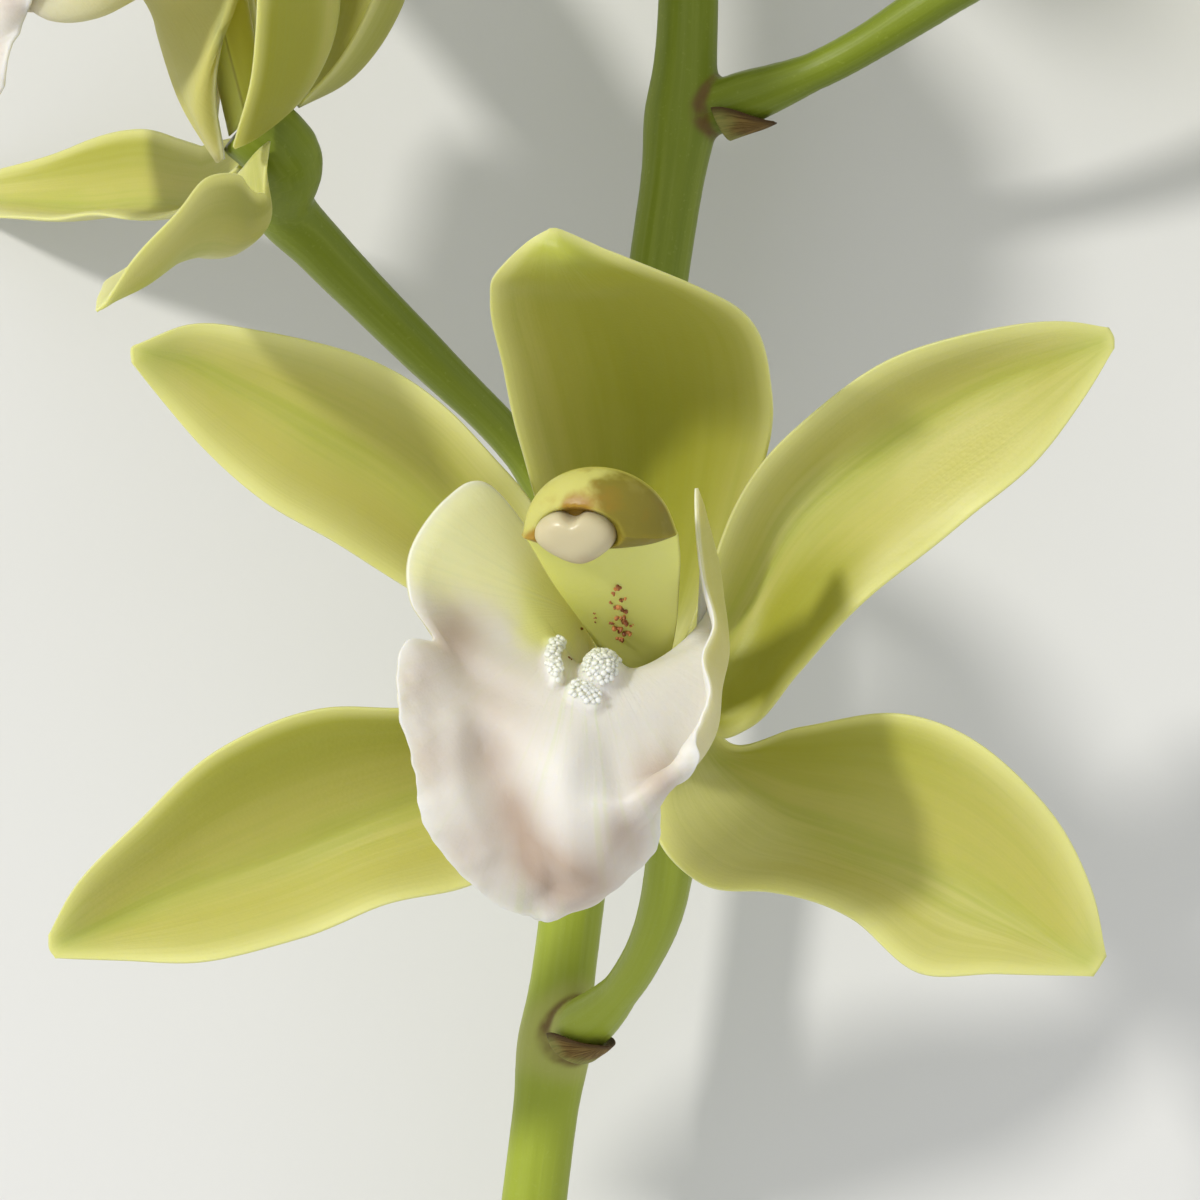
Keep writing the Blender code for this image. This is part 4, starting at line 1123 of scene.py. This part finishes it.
def lip_material():
    """Thin white tissue, yellow-green in the throat and on the lobes, with rose stains and painted tan
    shade.
    """
    s = Shader("lip tissue")
    along, turn, rim = s.mark("leaf")
    front, salt, keel = s.mark("face")
    yellow, deep, blush_and_shade = s.mark("tint")
    clouds = s.clouds(160.0, 3.0)
    drift = s.sway(clouds, -0.12, 0.12)
    fan = s.streaks((turn, along, salt), (16.0, 2.0, 1.0), 1.6, 3.0)
    colour = s.mix(s.step(s.plus(yellow, drift), 0.05, 0.9), LIP_WHITE, LIP_LOBE)
    colour = s.mix(s.step(s.plus(deep, drift), 0.15, 0.95), colour, LIP_THROAT)
    near_middle = s.step(s.math("ABSOLUTE", turn), 0.0, 0.7, 0.5, 0.15)
    colour = s.mix(s.times(s.step(fan, 0.5, 0.72), near_middle), colour, LIP_VEIN)
    outside = s.step(front, 0.4, 0.6, 1.0, 0.0)
    colour = s.mix(s.times(outside, s.step(along, 0.35, 0.95, 1.0, 0.0)), colour, LIP_OUTSIDE)
    # Rose stains and painted tan shade.
    blush_and_shade_share = s.times(blush_and_shade, s.step(clouds, 0.25, 0.65, 0.7, 1.0))
    colour = s.mix(blush_and_shade_share, colour, LIP_BLUSH_AND_SHADE)
    colour = s.mix(s.step(keel, 0.15, 0.7, 0.0, 0.8), colour, LIP_KEEL)
    colour = s.mix(s.step(rim, 0.0, 0.9, 0.3, 0.0), colour, LIP_WHITE)
    grain = s.grain(3000.0)
    normal = s.bump(fan, 0.00012, 0.45)
    normal = s.bump(grain, 0.00003, 0.5, normal)
    return s.finish(
        colour, s.sway(clouds, 0.50, 0.60), normal, (0.75, 0.0025, (1.0, 0.85, 0.55)),
        Specular_IOR_Level=0.25, Sheen_Weight=0.06,
    )


def bead_material():
    """Waxy beads, white to pale green."""
    s = Shader("keel beads")
    clouds = s.clouds(350.0, 2.0)
    colour = s.mix(s.step(clouds, 0.45, 0.75, 0.0, 0.6), LIP_KEEL, LIP_VEIN)
    normal = s.bump(clouds, 0.00003, 0.3)
    return s.finish(
        colour, s.sway(clouds, 0.35, 0.45), normal, (0.6, 0.0012, (1.0, 0.9, 0.6)),
        Specular_IOR_Level=0.45,
    )


def column_material():
    """Waxy green column whose hood has painted olive-brown shade on one side and two orange spots, with
    painted shade along its side edges.
    """
    s = Shader("column tissue")
    along, height, _ = s.mark("round")
    orange, olive, on_end = s.mark("hood")
    clouds = s.clouds(420.0, 3.0)
    drift = s.sway(clouds, -0.22, 0.22)
    speckle = s.clouds(1500.0, 2.0)
    colour = s.mix(s.step(height, -0.15, 0.12, 1.0, 0.0), COLUMN_BACK, COLUMN_FRONT)
    colour = s.mix(s.step(along, 0.0, 0.35, 0.7, 0.0), colour, COLUMN_FOOT)
    colour = s.mix(s.times(on_end, 0.8), colour, HOOD_PALE)
    # Painted shade, olive brown, on the side of the hood's end turned from the light.
    brown = s.times(s.step(s.plus(olive, drift), 0.2, 0.9), on_end)
    colour = s.mix(brown, colour, COLUMN_OLIVE_SHADE)
    stained = s.times(s.step(s.plus(orange, drift), 0.05, 0.75, 0.0, 0.9), on_end)
    colour = s.mix(stained, colour, COLUMN_ORANGE)
    # Painted shade: a thin dark line along the column's side edges.
    beside = s.math("ABSOLUTE", s.plus(height, -WING_AT))
    wing = s.times(s.step(beside, 0.0, 0.12, 0.6, 0.0), s.step(on_end, 0.0, 0.5, 1.0, 0.0))
    colour = s.mix(wing, colour, COLUMN_OLIVE_SHADE)
    normal = s.bump(speckle, 0.00005, 0.5)
    return s.finish(
        colour, s.sway(clouds, 0.34, 0.44), normal, (0.6, 0.0025, (1.0, 0.95, 0.3)),
        Specular_IOR_Level=0.28,
    )


def anther_material():
    """Waxy cream with a rosy lower edge and painted rosy shade towards its right side."""
    s = Shader("anther cap wax")
    x, y, _ = s.mark("place")
    clouds = s.clouds(420.0, 3.0)
    low = s.step(s.plus(y, s.sway(clouds, -0.4, 0.4)), -3.0, -1.4, 0.55, 0.0)
    # Painted shade: rosier and darker towards the right, the side turned from the light.
    right = s.step(x, 2.0, 3.9, 0.0, 0.3)
    colour = s.mix(s.math("MAXIMUM", low, right), ANTHER_CREAM, ANTHER_ROSE_AND_SHADE)
    normal = s.bump(clouds, 0.0002, 0.35)
    return s.finish(
        colour, s.sway(clouds, 0.28, 0.36), normal, (0.45, 0.0018, (1.0, 0.8, 0.55)),
        Specular_IOR_Level=0.35,
    )


def stem_material():
    """Smooth waxy green with fine pale flecks, brown creases at the joints, a painted highlight on the
    lowest joint's swelling and a pale cut end.
    """
    s = Shader("stem skin")
    length, level, over = s.mark("tube")
    crease, joint, y = s.mark("near")
    wander = s.streaks((level, over, length), (1.0, 1.0, 0.02), 1.2, 2.0)
    fibres = s.streaks((level, over, length), (6.0, 6.0, 0.05), 1.0, 2.0)
    flecks = s.clouds(2200.0, 1.0)
    clouds = s.clouds(320.0, 3.0)
    fresh = s.plus(s.step(y, -30.0, 40.0, 0.95, 0.25), s.sway(wander, -0.12, 0.12))
    colour = s.mix(fresh, STEM_DEEP, STEM_FRESH)
    colour = s.mix(s.step(fibres, 0.4, 0.75, 0.0, 0.12), colour, STEM_PALE)
    colour = s.mix(s.step(flecks, 0.64, 0.76, 0.0, 0.14), colour, STEM_PALE)
    # Painted highlight on the pale swelling of the lowest joint.
    pale = s.times(s.step(joint, 0.2, 0.9), s.step(y, -30.0, 0.0, 0.4, 0.0))
    colour = s.mix(pale, colour, KNOB_PALE_HIGHLIGHT)
    browned = s.times(s.step(crease, 0.3, 0.95, 0.0, 0.95), s.step(clouds, 0.3, 0.6, 0.4, 1.0))
    colour = s.mix(browned, colour, CREASE_BROWN)
    colour = s.mix(s.step(y, CUT_END_AT, CUT_END_AT + 2.5, 0.85, 0.0), colour, CUT_COLOUR)
    normal = s.bump(fibres, 0.00012, 0.4)
    normal = s.bump(flecks, 0.00004, 0.4, normal)
    return s.finish(
        colour, s.sway(wander, 0.32, 0.44), normal, (0.2, 0.0015, (0.9, 1.0, 0.2)),
        Specular_IOR_Level=0.22,
    )


def bract_material():
    """Dry papery scale: green-tan base, brown fibres, dark torn margin."""
    s = Shader("bract paper")
    along, across, rim = s.mark("leaf")
    _, salt, _ = s.mark("face")
    fibres = s.streaks((across, along, salt), (16.0, 1.6, 1.0), 1.6, 4.0)
    blots = s.clouds(260.0, 3.0)
    colour = s.mix(s.step(fibres, 0.35, 0.68), BRACT_TAN, BRACT_BROWN)
    colour = s.mix(s.step(s.plus(along, blots), 0.45, 0.95, 0.6, 0.0), colour, BRACT_GREEN)
    colour = s.mix(s.step(rim, 0.0, 1.1, 0.9, 0.0), colour, BRACT_DARK)
    normal = s.bump(fibres, 0.00025, 0.7)
    return s.finish(
        colour, s.sway(blots, 0.60, 0.75), normal, (0.1, 0.0008, (1.0, 0.8, 0.4)),
        Specular_IOR_Level=0.12,
    )


def mark_material():
    """Rusty brown bristles."""
    s = Shader("throat bristles")
    clouds = s.clouds(1800.0, 2.0)
    colour = s.mix(s.step(clouds, 0.35, 0.65), MARK_DARK, MARK_LIGHT)
    normal = s.bump(clouds, 0.0001, 0.4)
    return s.finish(colour, s.sway(clouds, 0.45, 0.6), normal)


def floor_material():
    s = Shader("pale floor")
    clouds = s.clouds(14.0, 3.0)
    colour = s.mix(s.sway(clouds, 0.0, 0.06), FLOOR_COLOUR, FLOOR_SHADE)
    normal = s.bump(s.clouds(900.0, 2.0), 0.0001, 0.2)
    return s.finish(colour, 0.85, normal, Specular_IOR_Level=0.2)


def to_scene(point):
    """A point of the tables' frame in metres on the table."""
    return (Vector(point) - Vector((*MIDDLE, FLOOR))) * MM


def make_stage():
    half = FLOOR_SIZE * MM / 2
    mesh = bpy.data.meshes.new("floor")
    corners = [(-half, -half, 0), (half, -half, 0), (half, half, 0), (-half, half, 0)]
    mesh.from_pydata(corners, [], [(0, 1, 2, 3)])
    mesh.materials.append(floor_material())
    floor = add_object("floor", mesh)

    world = bpy.data.worlds.new("studio")
    world.use_nodes = True
    sky = world.node_tree.nodes["Background"]
    sky.inputs["Color"].default_value = (*WORLD_COLOUR, 1)
    sky.inputs["Strength"].default_value = WORLD_STRENGTH
    bpy.context.scene.world = world

    way = Vector(KEY_FROM).normalized()
    lamp = bpy.data.lights.new("key", "AREA")
    lamp.shape = "DISK"
    lamp.size = KEY_SIZE * MM
    lamp.energy = KEY_POWER
    lamp.color = KEY_COLOUR
    key = add_object("key", lamp)
    key.location = to_scene((0, 0, 0)) + way * KEY_DISTANCE * MM
    key.rotation_euler = way.to_track_quat("Z", "Y").to_euler()
    key.visible_camera = False

    lens = bpy.data.cameras.new("camera")
    lens.lens = CAMERA_LENS
    lens.sensor_width = CAMERA_SENSOR
    lens.clip_start = 0.01
    lens.clip_end = 100
    camera = add_object("camera", lens)
    camera.location = to_scene(CAMERA_AT)
    bpy.context.scene.camera = camera
    bpy.context.scene.view_settings.view_transform = "Standard"


def throat_places():
    """Where the camera's lines to the throat's marks meet the first bloom, with their normals."""
    eye = Vector(CAMERA_AT)
    depsgraph = bpy.context.evaluated_depsgraph_get()
    shift = Vector((*MIDDLE, FLOOR))
    trees = []
    for name in ("bloom_1_column_look", "bloom_1_lip_look"):
        trees.append(BVHTree.FromObject(bpy.data.objects[name], depsgraph))
    found = []
    for (x, y), size in THROAT_MARKS:
        way = (Vector((x, y, THROAT_LEVEL)) - eye).normalized()
        hits = [tree.ray_cast((eye - shift) * MM, way) for tree in trees]
        place, normal, _, _ = min((hit for hit in hits if hit[0]), key=lambda hit: hit[3])
        found.append((np.array(place / MM + shift), np.array(normal), size))
    return found


def make_throat_marks(number, bloom, found, materials):
    """Tufts of small rusty bristles on the column's foot and in the throat of a bloom."""
    draw = np.random.default_rng(BRISTLE_SEED)
    solids = []
    for place, normal, size in found:
        side = unit(np.cross(normal, (0.1, 0.3, 1.0)))
        up = np.cross(normal, side)
        for _ in range(BRISTLES):
            beside, above = draw.normal(size=2) * size * BRISTLE_SCATTER
            reach, tall = draw.uniform(*BRISTLE_WIDTH) * size, draw.uniform(*BRISTLE_LENGTH) * size
            solids.append(rounded_bead(place + side * beside + up * above, normal, reach, tall))
    solid = join_solids(solids)
    add_to_bloom(number, bloom, "throat_marks", "column", solid, materials["mark"], "column")


def main():
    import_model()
    materials = {
        "tepal": tepal_material(),
        "lip": lip_material(),
        "column": column_material(),
        "anther": anther_material(),
        "stem": stem_material(),
        "bract": bract_material(),
        "bead": bead_material(),
        "mark": mark_material(),
    }
    make_stage()
    make_stem(materials)
    for number, bloom in enumerate(BLOOMS, 1):
        make_tepals(number, bloom, materials)
        make_lip(number, bloom, materials)
        make_column(number, bloom, materials)
    found = throat_places()
    for number, bloom in enumerate(BLOOMS, 1):
        make_throat_marks(number, bloom, found, materials)
    make_buds(materials)
    make_bracts(materials)


main()
